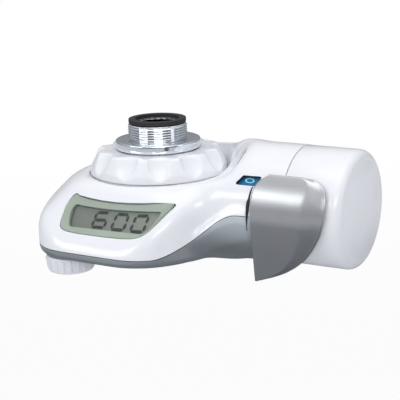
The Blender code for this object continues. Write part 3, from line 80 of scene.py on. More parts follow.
SHOULDER_RADIUS = 0.0368
LOBE_X = -0.0055
LOBE_Y = -0.0226
LOBE_HALF_WIDTH = 0.0345
LOBE_HALF_DEPTH = 0.0237
LOBE_CORNER = 0.0240
FLANK_RADIUS = 0.0345
FLANK_SLOPE = 0.92
FRONT_TILT = math.radians(33.5)
FRONT_Y = -0.0310
FRONT_DROP = 0.0008
DECK_RECESS = 0.0006
BARREL_Y = 0.0008
BARREL_Z = -0.0211
BARREL_START = 0.0240
BARREL_END = 0.0650
BARREL_ROOT_RADIUS = 0.0242
BARREL_RADIUS = 0.0229
BARREL_TOP_RADIUS = 0.0229
HUMP_RADIUS = 0.0220
HUMP_BACK = 0.0177
ROOT_DROP = 0.0120
TAIL_PROUD = 0.0009
TAIL_FLARE = 0.0072
TAIL_START = 0.0120
TAIL_RISE_START = 0.0260
TAIL_FLARE_START = 0.0280
TAIL_END = 0.0518
TAIL_RISE = 0.0102
SPLIT_LOW_DROP = 0.0243
SPLIT_HIGH_DROP = 0.0081
SPLIT_RISE_START = 0.0200
SPLIT_RISE_END = 0.0480
BAY_START = 0.0430
BAY_RADIUS = 0.0197
DRUM_RADIUS = 0.0211
HOUSING_BORE = 0.0215
LEVER_INNER = 0.0237
LEVER_THICKNESS = 0.0020
LEVER_TOP_ANGLE = math.radians(38.0)
LEVER_BEND_ANGLE = math.radians(-18.0)
LEVER_BLADE_LENGTH = 0.0185
LEVER_EASE = 0.0090
LEVER_BLADE_LEAN = math.radians(8.0)
LEVER_SWING = math.radians(50.0)
# Extent of the black strip of painted shadow in the gap beside the lever
LEVER_GAP_SHADOW_TOP = 26.6
LEVER_GAP_SHADOW_SPAN = 41.0
LEVER_GAP_SHADOW_AWAY = 0.0022
LEVER_GAP_SHADOW_PROUD = 0.0010
WEB_START = 0.0570
WEB_WIDTH = 0.0050
WEB_ANGLE = math.radians(-22.0)
WEB_SPAN = math.radians(10.0)
LABEL_START = 0.0450
LABEL_WIDTH = 0.0095
LABEL_THICKNESS = 0.0005
LABEL_TOP_ANGLE = math.radians(42.0)
WINDOW_ROUNDING = 0.0006
WINDOW_CORNERS = ((0.0452, 27.2), (0.0548, 27.2), (0.0560, 37.3), (0.0481, 37.0))
COVER_START = 0.0653
COVER_RADIUS = 0.0228
COVER_LENGTH = 0.0233
COVER_EDGE = 0.0035
COVER_CROWN = 0.0024
COVER_WALL = 0.0022
COVER_SKIRT = 0.0100
OUTLET_X = -0.0215
OUTLET_Y = -0.0346
NOZZLE_RADIUS = 0.0070
COLLAR_TOP_RADIUS = 0.0102
COLLAR_RADIUS = 0.0093
COLLAR_DROP = 0.0068
COLLAR_RIBS = 20
COLLAR_LIP = 0.0010
DISPLAY_TOP_DROP = 0.0034
DISPLAY_MARGIN = 0.0042
BEZEL_SINK = 0.0008
BEZEL_RISE = 0.0007
BEZEL_DIP = 0.0005
BEZEL_DEPTH = 0.0016
SCREW_PLACES = ((-0.0290, 0.0040), (0.0120, 0.0268), (0.0190, -0.0240))
SCREW_SHANK = 0.0012
SCREW_HEAD = 0.0024
SKIN_STEP = 0.0008
ROOM_STEP = 0.0016
LOBE_BLEND = 0.0120
CREST_BLEND = 0.0050
DECK_BLEND = 0.0040
EDGE_BLEND = 0.0030
BARREL_BLEND = 0.0220
TAIL_BLEND = 0.0020
TAIL_TOP_BLEND = 0.0060
ROOM_BLEND = 0.0020
POCKET_EDGE = 0.0016
HUMP_BLEND = 0.0040
HEAD_BLEND = 0.0070
SHARP_BLEND = 0.0005
BARREL_AXIS = Vector((0.0, BARREL_Y, BARREL_Z))
OUTLET = Vector((OUTLET_X, OUTLET_Y, 0.0))


def linked(name, data):
    """A new object, linked to the scene."""
    item = bpy.data.objects.new(name, data)
    bpy.context.scene.collection.objects.link(item)
    return item


# Camera at the photograph's angle

def place_camera():
    azimuth = math.radians(30.2)
    elevation = math.radians(14.5)
    roll = math.radians(-1.75)
    distance = 0.451
    shift_right = 0.0167
    shift_up = -0.01226
    focal_pixels = 1100.0
    back = Vector((math.sin(azimuth) * math.cos(elevation), -math.cos(azimuth) * math.cos(elevation),
                   math.sin(elevation)))
    right = Vector((math.cos(azimuth), math.sin(azimuth), 0.0))
    up = back.cross(right)
    tilted_right = math.cos(roll) * right + math.sin(roll) * up
    tilted_up = -math.sin(roll) * right + math.cos(roll) * up
    place = distance * back + shift_right * tilted_right + shift_up * tilted_up + Vector((0, 0, DECK_Z))
    camera = linked("camera", bpy.data.cameras.new("camera"))
    camera.data.sensor_width = 36.0
    camera.data.lens = 36.0 * focal_pixels / 400.0
    camera.data.clip_start = 0.01
    turn = Matrix((tilted_right, tilted_up, back)).transposed().to_4x4()
    camera.matrix_world = Matrix.Translation(place) @ turn
    bpy.context.scene.camera = camera


# Shader nodes

class Shade:
    """A shader socket that takes part in sums and products."""

    def __init__(self, paint, socket):
        self.paint = paint
        self.socket = socket

    def maths(self, operation, *values):
        return self.paint.node("ShaderNodeMath", {"operation": operation}, dict(enumerate(values)))

    def __add__(self, other):
        return self.maths("ADD", self, other)

    __radd__ = __add__

    def __rsub__(self, other):
        return self.maths("SUBTRACT", other, self)

    def __mul__(self, other):
        return self.maths("MULTIPLY", self, other)

    __rmul__ = __mul__

    def __pow__(self, other):
        return self.maths("POWER", self, other)

    def __abs__(self):
        return self.maths("ABSOLUTE", self)

    def step(self, low, high):
        """0 below low, 1 above high, and a smooth rise between."""
        return self.paint.node("ShaderNodeMapRange", {"interpolation_type": "SMOOTHSTEP"},
                               {"Value": self, "From Min": low, "From Max": high})


class Paint:
    """One procedural finish built round a Principled shader."""

    def __init__(self, name, color, roughness, metallic=0.0, **fixed):
        self.material = bpy.data.materials.new(name)
        self.material.use_nodes = True
        self.tree = self.material.node_tree
        self.shader = self.tree.nodes["Principled BSDF"]
        self.shader.inputs["Base Color"].default_value = (*color, 1.0)
        self.shader.inputs["Roughness"].default_value = roughness
        self.shader.inputs["Metallic"].default_value = metallic
        for socket, value in fixed.items():
            self.shader.inputs[socket.replace("_", " ")].default_value = value

    def node(self, kind, settings, values, out=0):
        node = self.tree.nodes.new(kind)
        for key, value in settings.items():
            setattr(node, key, value)
        for key, value in values.items():
            self.feed(node.inputs[key], value)
        return Shade(self, node.outputs[out])

    def feed(self, target, value):
        if isinstance(value, Shade):
            self.tree.links.new(value.socket, target)
        else:
            target.default_value = value

    def place(self):
        """Object coordinates, which are the unit's own frame in metres."""
        return self.node("ShaderNodeTexCoord", {}, {}, "Object")

    def split(self, vector):
        node = self.tree.nodes.new("ShaderNodeSeparateXYZ")
        self.tree.links.new(vector.socket, node.inputs[0])
        return [Shade(self, node.outputs[k]) for k in range(3)]

    def noise(self, scale, detail=2.0, stretch=None):
        where = self.place()
        if stretch:
            where = self.node("ShaderNodeMapping", {}, {"Vector": where, "Scale": stretch})
        return self.node("ShaderNodeTexNoise", {}, {"Vector": where, "Scale": scale, "Detail": detail}, "Fac")

    def blend(self, share, first, second):
        first, second = (c if isinstance(c, Shade) else (*c, 1.0) for c in (first, second))
        return self.node("ShaderNodeMix", {"data_type": "RGBA"}, {0: share, 6: first, 7: second}, 2)

    def color(self, value):
        self.feed(self.shader.inputs["Base Color"], value)

    def mottle(self, share, color, low, high):
        """The colour times low where share is 0 and times high where it is 1."""
        self.color(self.blend(share, [c * low for c in color], [c * high for c in color]))

    def rough(self, value):
        self.feed(self.shader.inputs["Roughness"], value)

    def bump(self, height, distance, strength=1.0):
        values = {"Height": height, "Distance": distance, "Strength": strength}
        relief = self.node("ShaderNodeBump", {}, values, "Normal")
        self.feed(self.shader.inputs["Normal"], relief)


def moulded_plastic(name, color, roughness, shade=0.96, grain=0.00002, **fixed):
    """Injection-moulded plastic: faint clouding, a slight orange-peel and uneven gloss."""
    paint = Paint(name, color, roughness, **fixed)
    paint.mottle(paint.noise(60.0, 3.0).step(0.35, 0.7), color, shade, 1.0)
    paint.rough(roughness * (0.85 + 0.3 * paint.noise(220.0)))
    paint.bump(paint.noise(900.0, 2.0), grain)
    return paint.material


def satin_grey():
    """Silvery grey lacquer on the lower shell, with a painted highlight towards its top near the lever."""
    color = (0.390, 0.425, 0.450)
    paint = Paint("satin grey", color, 0.32, 0.50)
    clouds = paint.noise(45.0, 3.0)
    along, _, height = paint.split(paint.place())
    # painted highlight: the grey made lighter towards the shell's top near the lever, where light catches it
    pale = along.step(0.022, 0.048) * height.step(-0.037, -0.026)
    base = paint.blend(clouds.step(0.3, 0.75), [c * 0.74 for c in color], [c * 0.80 for c in color])
    paint.color(paint.blend(pale, base, [c * 1.65 for c in color]))
    paint.rough(0.28 + 0.08 * paint.noise(300.0))
    paint.bump(paint.noise(2600.0, 2.0), 0.000012, 0.5)
    return paint.material


def silver_lacquer():
    """Metallic lacquer with fine flakes under a clear coat."""
    color = (0.520, 0.530, 0.545)
    paint = Paint("silver lacquer", color, 0.34, 0.92, Coat_Weight=0.2, Coat_Roughness=0.25)
    flakes = paint.noise(5200.0, 1.0)
    paint.mottle(flakes.step(0.35, 0.7), color, 0.95, 1.04)
    paint.rough(0.31 + 0.05 * paint.noise(160.0, 1.0))
    paint.bump(flakes, 0.000001, 0.3)
    return paint.material


def chrome_plate():
    color = (0.800, 0.835, 0.870)
    paint = Paint("chrome plate", color, 0.05, 1.0)
    haze = paint.noise(120.0, 3.0)
    paint.mottle(haze.step(0.4, 0.7), color, 1.0, 0.94)
    paint.rough(0.035 + 0.05 * haze)
    return paint.material


def drawn_steel():
    """Stainless steel with fine drawn lines."""
    color = (0.520, 0.525, 0.540)
    paint = Paint("drawn steel", color, 0.3, 1.0)
    lines = paint.noise(900.0, 2.0, stretch=(1.0, 12.0, 1.0))
    paint.mottle(lines, color, 0.85, 1.0)
    paint.rough(0.22 + 0.16 * lines)
    paint.bump(lines, 0.000008, 0.5)
    return paint.material


def pressed_carbon():
    color = (0.022, 0.022, 0.024)
    paint = Paint("pressed carbon", color, 0.85)
    grains = paint.noise(2200.0, 3.0)
    paint.mottle(grains, color, 0.6, 1.8)
    paint.rough(0.75 + 0.2 * grains)
    paint.bump(grains, 0.0001)
    return paint.material


def clear_lens():
    paint = Paint("clear lens", (0.50, 0.55, 0.52), 0.04, Alpha=0.04, Specular_IOR_Level=0.2)
    paint.rough(0.03 + 0.04 * paint.noise(200.0))
    return paint.material


def crystal_panel():
    """Grey liquid-crystal glass, a little darker towards its left end."""
    paint = Paint("crystal panel", (0.205, 0.225, 0.195), 0.4, Specular_IOR_Level=0.25)
    across, _, _ = paint.split(paint.place())
    fade = across.step(-0.020, 0.024)
    paint.color(paint.blend(fade, (0.175, 0.190, 0.175), (0.250, 0.270, 0.238)))
    paint.rough(0.36 + 0.08 * paint.noise(400.0))
    return paint.material


def printed(name, color, roughness, scale, dark, light, **fixed):
    paint = Paint(name, color, roughness, **fixed)
    paint.color(paint.blend(paint.noise(scale), dark, light))
    return paint.material


def blue_print_with_shadow():
    paint = Paint("blue print with painted shadow", (0.012, 0.165, 0.370), 0.28)
    _, _, height = paint.split(paint.place())
    # painted shadow: the blue print made darker towards its top, where the window's upper edge shades it
    shade = height.step(BARREL_Z + 0.006, BARREL_Z + 0.014)
    paint.color(paint.blend(shade, (0.016, 0.200, 0.430), (0.009, 0.130, 0.310)))
    paint.rough(0.24 + 0.08 * paint.noise(500.0))
    return paint.material


FINISHES = {
    "white_gloss": moulded_plastic("gloss white", (0.835, 0.845, 0.885), 0.16, 0.985, 0.000006),
    "grey_satin": satin_grey(),
    "silver_paint": silver_lacquer(),
    "chrome_plate": chrome_plate(),
    "stainless": drawn_steel(),
    "black_rubber": moulded_plastic("black rubber", (0.022, 0.022, 0.023), 0.7, 0.7, 0.00003),
    "natural_plastic": moulded_plastic("natural plastic", (0.640, 0.650, 0.640), 0.4, 0.93),
    "blue_label": blue_print_with_shadow(),
    "pale_green_frame": moulded_plastic("pale green frame", (0.350, 0.410, 0.345), 0.38, 0.93, 0.00001),
    "clear_lens": clear_lens(),
    "lcd_grey": crystal_panel(),
    "board_green": moulded_plastic("board green", (0.020, 0.150, 0.065), 0.4, 0.8),
    "black_plastic": moulded_plastic("black plastic", (0.030, 0.030, 0.032), 0.5, 0.8),
    "cartridge_white": moulded_plastic("cartridge white", (0.700, 0.720, 0.750), 0.35, 0.95),
    "pressed_carbon": pressed_carbon(),
}


def paint_packed_nodes():
    for part in frame["record"]["subparts"]:
        node = frame["nodes"][part["node"]]
        node.data.materials.clear()
        node.data.materials.append(FINISHES[part["material_slot"]])


# Mesh helpers

def finish_piece(item, body, slot, *stands_for, material=None):
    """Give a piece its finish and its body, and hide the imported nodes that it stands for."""
    item.data.materials.clear()
    item.data.materials.append(material or FINISHES[slot])
    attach(item, body)
    if stands_for:
        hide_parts(*stands_for)


def raw_object(name, points, faces, smooth_angle=35.0):
    mesh = bpy.data.meshes.new(name)
    mesh.from_pydata([tuple(p) for p in points], [], [tuple(f) for f in faces])
    bm = bmesh.new()
    bm.from_mesh(mesh)
    bmesh.ops.remove_doubles(bm, verts=bm.verts, dist=1e-7)
    bmesh.ops.recalc_face_normals(bm, faces=bm.faces)
    bm.to_mesh(mesh)
    bm.free()
    mesh.shade_smooth()
    mesh.set_sharp_from_angle(angle=math.radians(smooth_angle))
    return linked(name, mesh)


def grid_faces(rows, columns, around=False, closed=False):
    """Quads of a grid of points; around joins the last column to the first, closed the rows."""
    faces = []
    for i in range(rows if closed else rows - 1):
        for j in range(columns if around else columns - 1):
            k = (j + 1) % columns
            n = (i + 1) % rows
            faces.append((i * columns + j, i * columns + k, n * columns + k, n * columns + j))
    return faces


def capped_faces(rows, columns):
    """A tube of quads with one flat face at each end."""
    last = (rows - 1) * columns
    return grid_faces(rows, columns, True) + [tuple(range(columns)), tuple(range(last, last + columns))]


def circle(radius, height, steps, center, along, shape=None):
    """Points round the axis; shape may change each point's radius by its angle."""
    points = []
    for k in range(steps):
        turn = 2.0 * math.pi * k / steps
        r = shape(radius, height, turn) if shape else radius
        point = (r * math.cos(turn), r * math.sin(turn), height)
        if along == "X":
            point = (point[2], point[1], -point[0])
        points.append([a + b for a, b in zip(point, center)])
    return points


def turned(name, profile, steps=96, center=(0, 0, 0), along="Z", smooth_angle=35.0, shape=None):
    """Turn a closed (radius, height) profile."""
    points = []
    for radius, height in profile:
        points += circle(radius, height, steps, center, along, shape)
    return raw_object(name, points, grid_faces(len(profile), steps, True, True), smooth_angle)


def rounded_profile(corners, steps=4):
    """A closed outline whose corners, given as (radius, height, rounding), become arcs."""
    profile = []
    for i, (radius, height, rounding) in enumerate(corners):
        here = Vector((radius, height))
        if rounding == 0.0:
            profile.append((radius, height))
            continue
        before = (Vector(corners[i - 1][:2]) - here).normalized()
        after = (Vector(corners[(i + 1) % len(corners)][:2]) - here).normalized()
        half = before.angle(after) / 2
        reach = rounding / math.tan(half)
        start = here + before * reach
        end = here + after * reach
        middle = here + (before + after).normalized() * (rounding / math.sin(half))
        for k in range(steps + 1):
            share = k / steps
            way = (start - middle).normalized().slerp((end - middle).normalized(), share, Vector((1, 0)))
            profile.append(tuple(middle + way * rounding))
    return profile


def prism(name, outline, place, depth_from, depth_to):
    points = [place(a, b, depth) for depth in (depth_from, depth_to) for a, b in outline]
    return raw_object(name, points, capped_faces(2, len(outline)), 30.0)


def barrel_point(x, radius, angle):
    return Vector((x, BARREL_Y - radius * math.cos(angle), BARREL_Z + radius * math.sin(angle)))


def barrel_band(name, sections):
    """A solid round the barrel through sections, each (angle, inner, outer, x_low, x_high)."""
    points = []
    for angle, inner, outer, x_low, x_high in sections:
        for radius, x in ((inner, x_low), (outer, x_low), (outer, x_high), (inner, x_high)):
            points.append(barrel_point(x, radius, angle))
    return raw_object(name, points, capped_faces(len(sections), 4))


def arc_patch(name, inner, outer, x_low, x_high, angle_low, angle_high, steps=24):
    angles = [angle_low + (angle_high - angle_low) * i / steps for i in range(steps + 1)]
    return barrel_band(name, [(angle, inner, outer, x_low, x_high) for angle in angles])


def rod(name, radius, low, high, center=(0, 0, 0), along="Z", steps=64):
    points = circle(radius, low, steps, center, along) + circle(radius, high, steps, center, along)
    return raw_object(name, points, capped_faces(2, steps))


def keep_result(item):
    """Make what the object's modifiers give its own plain mesh."""
    depsgraph = bpy.context.evaluated_depsgraph_get()
    result = bpy.data.meshes.new_from_object(item.evaluated_get(depsgraph))
    item.modifiers.clear()
    item.data = result


def carve(target, *tools):
    """Take all the tools out of the target in one exact difference."""
    group = bpy.data.collections.new("tools")
    for tool in tools:
        group.objects.link(tool)
    modifier = target.modifiers.new("carve", "BOOLEAN")
    modifier.operation = "DIFFERENCE"
    modifier.solver = "EXACT"
    modifier.operand_type = "COLLECTION"
    modifier.collection = group
    keep_result(target)
    for tool in tools:
        bpy.data.objects.remove(tool)
    bpy.data.collections.remove(group)


# Form of the housing, as a signed field whose zero level is the outer skin

def smooth_step(low, high, value):
    share = np.clip((value - low) / (high - low), 0.0, 1.0)
    return share * share * (3.0 - 2.0 * share)


def smooth_min(a, b, blend):
    share = np.maximum(blend - np.abs(a - b), 0.0) / blend
    return np.minimum(a, b) - share * share * blend / 4.0


def smooth_max(a, b, blend):
    return -smooth_min(-a, -b, blend)


def head_field(x, y, z):
    radius = np.hypot(x, y)
    across = np.abs(x - LOBE_X) - (LOBE_HALF_WIDTH - LOBE_CORNER)
    along = np.abs(y - LOBE_Y) - (LOBE_HALF_DEPTH - LOBE_CORNER)
    corner = np.hypot(np.maximum(across, 0.0), np.maximum(along, 0.0))
    lobe = corner + np.minimum(np.maximum(across, along), 0.0) - LOBE_CORNER
    plan = smooth_min(radius - SHOULDER_RADIUS, lobe, LOBE_BLEND)
    flank = (FLANK_SLOPE * (radius - FLANK_RADIUS) + z - DECK_Z) / math.hypot(FLANK_SLOPE, 1.0)
    front = ((z - DECK_Z + FRONT_DROP) * math.sin(FRONT_TILT)
             - (y - FRONT_Y) * math.cos(FRONT_TILT))
    skin = smooth_max(flank, front, CREST_BLEND)
    skin = smooth_max(skin, z - DECK_Z - DECK_RECESS, DECK_BLEND)
    return smooth_max(skin, plan, EDGE_BLEND)


def barrel_radius(x):
    share = np.clip((x - BARREL_START) / (BARREL_END - BARREL_START), 0.0, 1.0)
    return BARREL_ROOT_RADIUS + (BARREL_RADIUS - BARREL_ROOT_RADIUS) * share


def barrel_skin(x, z):
    """The barrel's radius: tapered below, even above."""
    upper = smooth_step(-0.004, 0.014, z - BARREL_Z)
    return barrel_radius(x) + (BARREL_TOP_RADIUS - barrel_radius(x)) * upper


def barrel_field(x, y, z):
    around = np.hypot(y - BARREL_Y, z - BARREL_Z) - barrel_skin(x, z)
    return smooth_max(around, BARREL_START - 0.006 - x, BARREL_BLEND)


def hump_field(x, y, z):
    start = np.array((BARREL_START + 0.014, 0.002, BARREL_Z - 0.0002))
    end = np.array((0.002, HUMP_BACK, BARREL_Z - 0.0024))
    span = end - start
    points = np.stack((x, y, z), axis=-1) - start
    share = np.clip(points @ span / (span @ span), 0.0, 1.0)
    nearest = share[..., None] * span
    return np.linalg.norm(points - nearest, axis=-1) - HUMP_RADIUS


def tail_lower_z(x):
    share = np.clip((x - TAIL_RISE_START) / (TAIL_END - TAIL_RISE_START), 0.0, 1.0)
    return RIM_Z + share * TAIL_RISE


def tail_field(x, y, z):
    share = np.clip((x - TAIL_FLARE_START) / (TAIL_END - TAIL_FLARE_START), 0.0, 1.0)
    flare = TAIL_PROUD + TAIL_FLARE * (1.0 - share) ** 2
    around = np.hypot(y - BARREL_Y, z - BARREL_Z) - barrel_radius(x) - flare
    skin = smooth_max(around, tail_lower_z(x) - z, TAIL_BLEND)
    skin = smooth_max(skin, z - split_z(x) - 0.002, TAIL_TOP_BLEND)
    skin = smooth_max(skin, np.maximum(x - TAIL_END, TAIL_START - x), TAIL_BLEND)
    return smooth_max(skin, y, TAIL_BLEND)


def pocket_field(x, y, z):
    """The room round the nut: shallow to the front right, steep behind."""
    outside = np.maximum(np.hypot(x, y) - POCKET_RADIUS, 0.0)
    direction = np.degrees(np.arctan2(y, x))
    left = smooth_step(110.0, 170.0, direction) + 1.0 - smooth_step(-95.0, -60.0, direction)
    back = 1.0 - smooth_step(110.0, 170.0, direction)
    behind = smooth_step(-52.0, 24.0, direction) ** 3.5 * back
    steep = POCKET_SHALLOW + (POCKET_STEEP - POCKET_SHALLOW) * behind + (1.0 - POCKET_SHALLOW) * left
    steep = steep + POCKET_WALL * smooth_step(5.0, 35.0, direction) * back
    slope = steep * outside / (outside + POCKET_EASE)
    far = np.maximum(x - POCKET_END, 0.0)
    floor = DECK_Z + slope * outside + POCKET_CLIMB * far * far
    return (z - floor) / np.sqrt(1.0 + slope ** 2 + (2.0 * POCKET_CLIMB * far) ** 2)


def whole_field(x, y, z):
    floor = RIM_Z - ROOT_DROP * smooth_step(BARREL_START - 0.008, BARREL_START + 0.012, x)
    head = smooth_max(head_field(x, y, z), RIM_Z - z, EDGE_BLEND)
    rear = smooth_min(hump_field(x, y, z), barrel_field(x, y, z), HUMP_BLEND)
    rear = smooth_max(rear, floor - z, EDGE_BLEND)
    skin = smooth_max(smooth_min(head, rear, HEAD_BLEND), floor - z, SHARP_BLEND)
    return smooth_min(skin, tail_field(x, y, z), EDGE_BLEND)


def skin_field(x, y, z):
    direction = np.degrees(np.arctan2(y, x))
    beside = smooth_step(-45.0, -10.0, direction) * (1.0 - smooth_step(15.0, 60.0, direction))
    pocket = pocket_field(x, y, z) - DECK_RECESS
    skin = smooth_max(whole_field(x, y, z), pocket, POCKET_EDGE + POCKET_ROUND * beside)
    return smooth_max(skin, x - BARREL_END - 0.0015, SHARP_BLEND)


def inner_field(x, y, z):
    skin = smooth_max(whole_field(x, y, z) + WALL, pocket_field(x, y, z) + WALL, ROOM_BLEND)
    return smooth_max(skin, x - BARREL_END - 0.003, SHARP_BLEND)


def split_z(x):
    rise = smooth_step(SPLIT_RISE_START, SPLIT_RISE_END, x)
    return DECK_Z - SPLIT_LOW_DROP + (SPLIT_LOW_DROP - SPLIT_HIGH_DROP) * rise


def slope_of(field, points):
    """Value and gradient of a field at points, by central differences."""
    h = 1e-5
    slopes = []
    for step in h * np.eye(3):
        slopes.append((field(*(points + step).T) - field(*(points - step).T)) / (2.0 * h))
    return field(*points.T), np.stack(slopes, axis=-1)


def surface_net(field, low, high, step):
    """Points and quads of a field's zero level, one point for each cell that it crosses."""
    axes = [np.arange(a, b + step, step) for a, b in zip(low, high)]
    grid = np.stack(np.meshgrid(*axes, indexing="ij"), axis=-1)
    value = field(*np.moveaxis(grid, -1, 0))
    inside = value < 0.0
    cells = tuple(n - 1 for n in value.shape)
    total = np.zeros(cells + (3,))
    count = np.zeros(cells)
    crossings = []
    for axis in range(3):
        near = tuple(slice(0, -1) if k == axis else slice(None) for k in range(3))
        far = tuple(slice(1, None) if k == axis else slice(None) for k in range(3))
        crossed = inside[near] != inside[far]
        share = np.where(crossed, value[near] / np.where(crossed, value[near] - value[far], 1.0), 0.0)
        point = grid[near] + share[..., None] * (grid[far] - grid[near])
        others = [k for k in range(3) if k != axis]
        for i in (0, 1):
            for j in (0, 1):
                part = [slice(None)] * 3
                part[others[0]] = slice(i, i + cells[others[0]])
                part[others[1]] = slice(j, j + cells[others[1]])
                part = tuple(part)
                total += np.where(crossed[part][..., None], point[part], 0.0)
                count += crossed[part]
        crossings.append((crossed, inside[near]))
    used = count > 0
    index = np.full(cells, -1)
    index[used] = np.arange(used.sum())
    points = total[used] / count[used][:, None]
    quads = []
    for axis, (crossed, starts_inside) in enumerate(crossings):
        place = np.stack(np.nonzero(crossed), axis=-1)
        second = (axis + 1) % 3
        third = (axis + 2) % 3
        corners = []
        for a, b in ((-1, -1), (0, -1), (0, 0), (-1, 0)):
            cell = place.copy()
            cell[:, second] += a
            cell[:, third] += b
            corners.append(index[cell[:, 0], cell[:, 1], cell[:, 2]])
        quad = np.stack(corners, axis=-1)
        turned_round = ~starts_inside[place[:, 0], place[:, 1], place[:, 2]]
        quad[turned_round] = quad[turned_round][:, ::-1]
        quads.append(quad)
    for _ in range(4):
        level, slope = slope_of(field, points)
        points = points - slope * (level / np.maximum((slope ** 2).sum(axis=1), 0.05))[:, None]
    return points, np.concatenate(quads)


def skin_object(name, field, step):
    points, quads = surface_net(field, (-0.044, -0.050, -0.049), (0.070, 0.044, 0.006), step)
    mesh = bpy.data.meshes.new(name)
    mesh.from_pydata(points.tolist(), [], quads.tolist())
    return linked(name, mesh)


def skin_normals(item, field):
    """Shade the outer skin by the field's own slope, and leave cut faces as they are."""
    mesh = item.data
    mesh.shade_smooth()
    mesh.set_sharp_from_angle(angle=math.radians(30.0))

    def read(items, key, width=1, kind=np.int64):
        values = np.empty(len(items) * width, dtype=kind)
        items.foreach_get(key, values)
        return values.reshape(-1, width) if width > 1 else values

    level, slope = slope_of(field, read(mesh.vertices, "co", 3, float))
    normal = slope / np.linalg.norm(slope, axis=1)[:, None]
    corner = read(mesh.loops, "vertex_index")
    sides = read(mesh.polygons, "loop_total")
    face_normal = np.repeat(read(mesh.polygons, "normal", 3, float), sides, axis=0)
    on_skin = (np.abs(level[corner]) < 3e-5) & ((face_normal * normal[corner]).sum(axis=1) > 0.8)
    custom = np.where(on_skin[:, None], normal[corner], 0.0)
    mesh.normals_split_custom_set(custom.tolist())


def split_tool(name, above, offset):
    places = np.linspace(-0.060, 0.090, 151)
    line = [(float(x), float(split_z(np.array(x))) + offset) for x in places]
    level = 0.060 if above else -0.090
    outline = line + [(float(places[-1]), level), (float(places[0]), level)]
    return prism(name, outline, lambda a, b, depth: Vector((a, -depth, b)), -0.080, 0.080)


# Display outline and frame

def display_point(a, b, depth):
    """Place right and up from the middle of the sloping face's top, and out of the face."""
    up = Vector((0.0, math.sin(FRONT_TILT), math.cos(FRONT_TILT)))
    across = Vector((1, 0, 0))
    origin = Vector((0.0, FRONT_Y, DECK_Z - FRONT_DROP)) - up * DISPLAY_TOP_DROP
    return origin + across * a + up * b + across.cross(up) * depth


# The frame's outer edge and the screen's, right and up in millimetres from the face's top
FRAME_POINTS = (
    (-19.1, 0.1), (-16.5, -0.7), (-6.6, -1.75), (2.8, -1.8), (11.7, -1.05), (20.2, 0.3), (25.3, 1.0),
    (25.8, 0.4), (23.8, -4.1), (21.0, -9.2), (18.8, -12.3), (15.9, -14.6), (11.8, -15.8), (2.9, -16.4),
    (-6.3, -16.5), (-15.9, -16.3), (-20.1, -15.4), (-21.5, -14.0), (-21.9, -8.9), (-21.3, -3.0))
SCREEN_POINTS = (
    (-17.2, -4.3), (-15.2, -4.5), (-6.3, -4.8), (3.0, -4.6), (11.9, -4.0), (18.2, -3.45), (20.7, -3.25),
    (21.2, -3.7), (20.7, -6.0), (18.9, -9.6), (17.3, -11.8), (15.4, -12.95), (11.5, -13.15), (1.2, -13.4),
    (-8.1, -13.5), (-16.0, -13.7), (-17.6, -13.4), (-18.2, -12.6), (-18.8, -8.9), (-18.4, -5.3))


def display_outline(shrink, steps=5):
    """A smooth loop through the frame's points, moved towards the screen's by shrink."""
    share = shrink / DISPLAY_MARGIN
    pairs = zip(FRAME_POINTS, SCREEN_POINTS)
    loop = [(Vector(a) * (1.0 - share) + Vector(b) * share) * 0.001 for a, b in pairs]
    outline = []
    for i, here in enumerate(loop):
        before = loop[i - 1]
        after = loop[(i + 1) % len(loop)]
        beyond = loop[(i + 2) % len(loop)]
        reach = (after - here).length / 3.0
        leave = here + (after - before).normalized() * reach
        arrive = after - (beyond - here).normalized() * reach
        for k in range(steps):
            t = k / steps
            u = 1.0 - t
            spot = here * u ** 3 + leave * 3 * u * u * t + arrive * 3 * u * t * t + after * t ** 3
            outline.append(tuple(spot))
    return outline


# Housing shells

def lever_slot():
    low = WEB_ANGLE - WEB_SPAN / 2 - math.radians(2.0)
    high = WEB_ANGLE + WEB_SPAN / 2 + LEVER_SWING + math.radians(2.0)
    return arc_patch("slot", DRUM_RADIUS - 0.001, BARREL_ROOT_RADIUS + 0.003, WEB_START - GAP,
                     WEB_START + WEB_WIDTH + GAP, low, high, steps=32)


def build_shell(name, above, offset, slot, packed, *tools):
    """One shell, less the other's side, the room inside, the barrel's bore and end, and the lever's slot."""
    shell = skin_object(name, skin_field, SKIN_STEP)
    end = BARREL_END
    carve(shell, split_tool("side", above, offset),
          rod("bore", HOUSING_BORE, BAY_START, end + 0.01, BARREL_AXIS, "X"),
          rod("end", 0.040, end, end + 0.01, BARREL_AXIS, "X"),
          lever_slot(),
          skin_object("room", inner_field, ROOM_STEP),
          *tools)
    skin_normals(shell, skin_field)
    finish_piece(shell, "housing", slot, packed)


def window_outline():
    """The slanted opening over the selector's label, with eased corners, laid flat."""
    return rounded_profile([(x, math.radians(angle) * DRUM_RADIUS, WINDOW_ROUNDING)
                            for x, angle in WINDOW_CORNERS])


def window_tool():
    outline = window_outline()
    points = []
    for radius in (DRUM_RADIUS - 0.001, BARREL_ROOT_RADIUS + 0.002):
        points += [barrel_point(x, radius, around / DRUM_RADIUS) for x, around in outline]
    return raw_object("window", points, capped_faces(2, len(outline)))


def build_window_shadow_liner():
    """Painted shadow: a thin black band on the walls of the label's opening."""
    outline = [Vector(spot) for spot in window_outline()]
    middle = sum(outline, Vector((0.0, 0.0))) / len(outline)
    inner = HOUSING_BORE
    outer = 0.0228
    thin = 0.03
    points = []
    for radius, share in ((inner, 0.0), (outer, 0.0), (outer, thin), (inner, thin)):
        for spot in outline:
            x, around = spot.lerp(middle, share)
            points.append(barrel_point(x, radius, around / DRUM_RADIUS))
    # a black sheet where the opening's walls lie in shade, standing in for their shadow
    liner = raw_object("window_shadow_liner", points, grid_faces(4, len(outline), True, True))
    finish_piece(liner, "housing", "black_plastic")


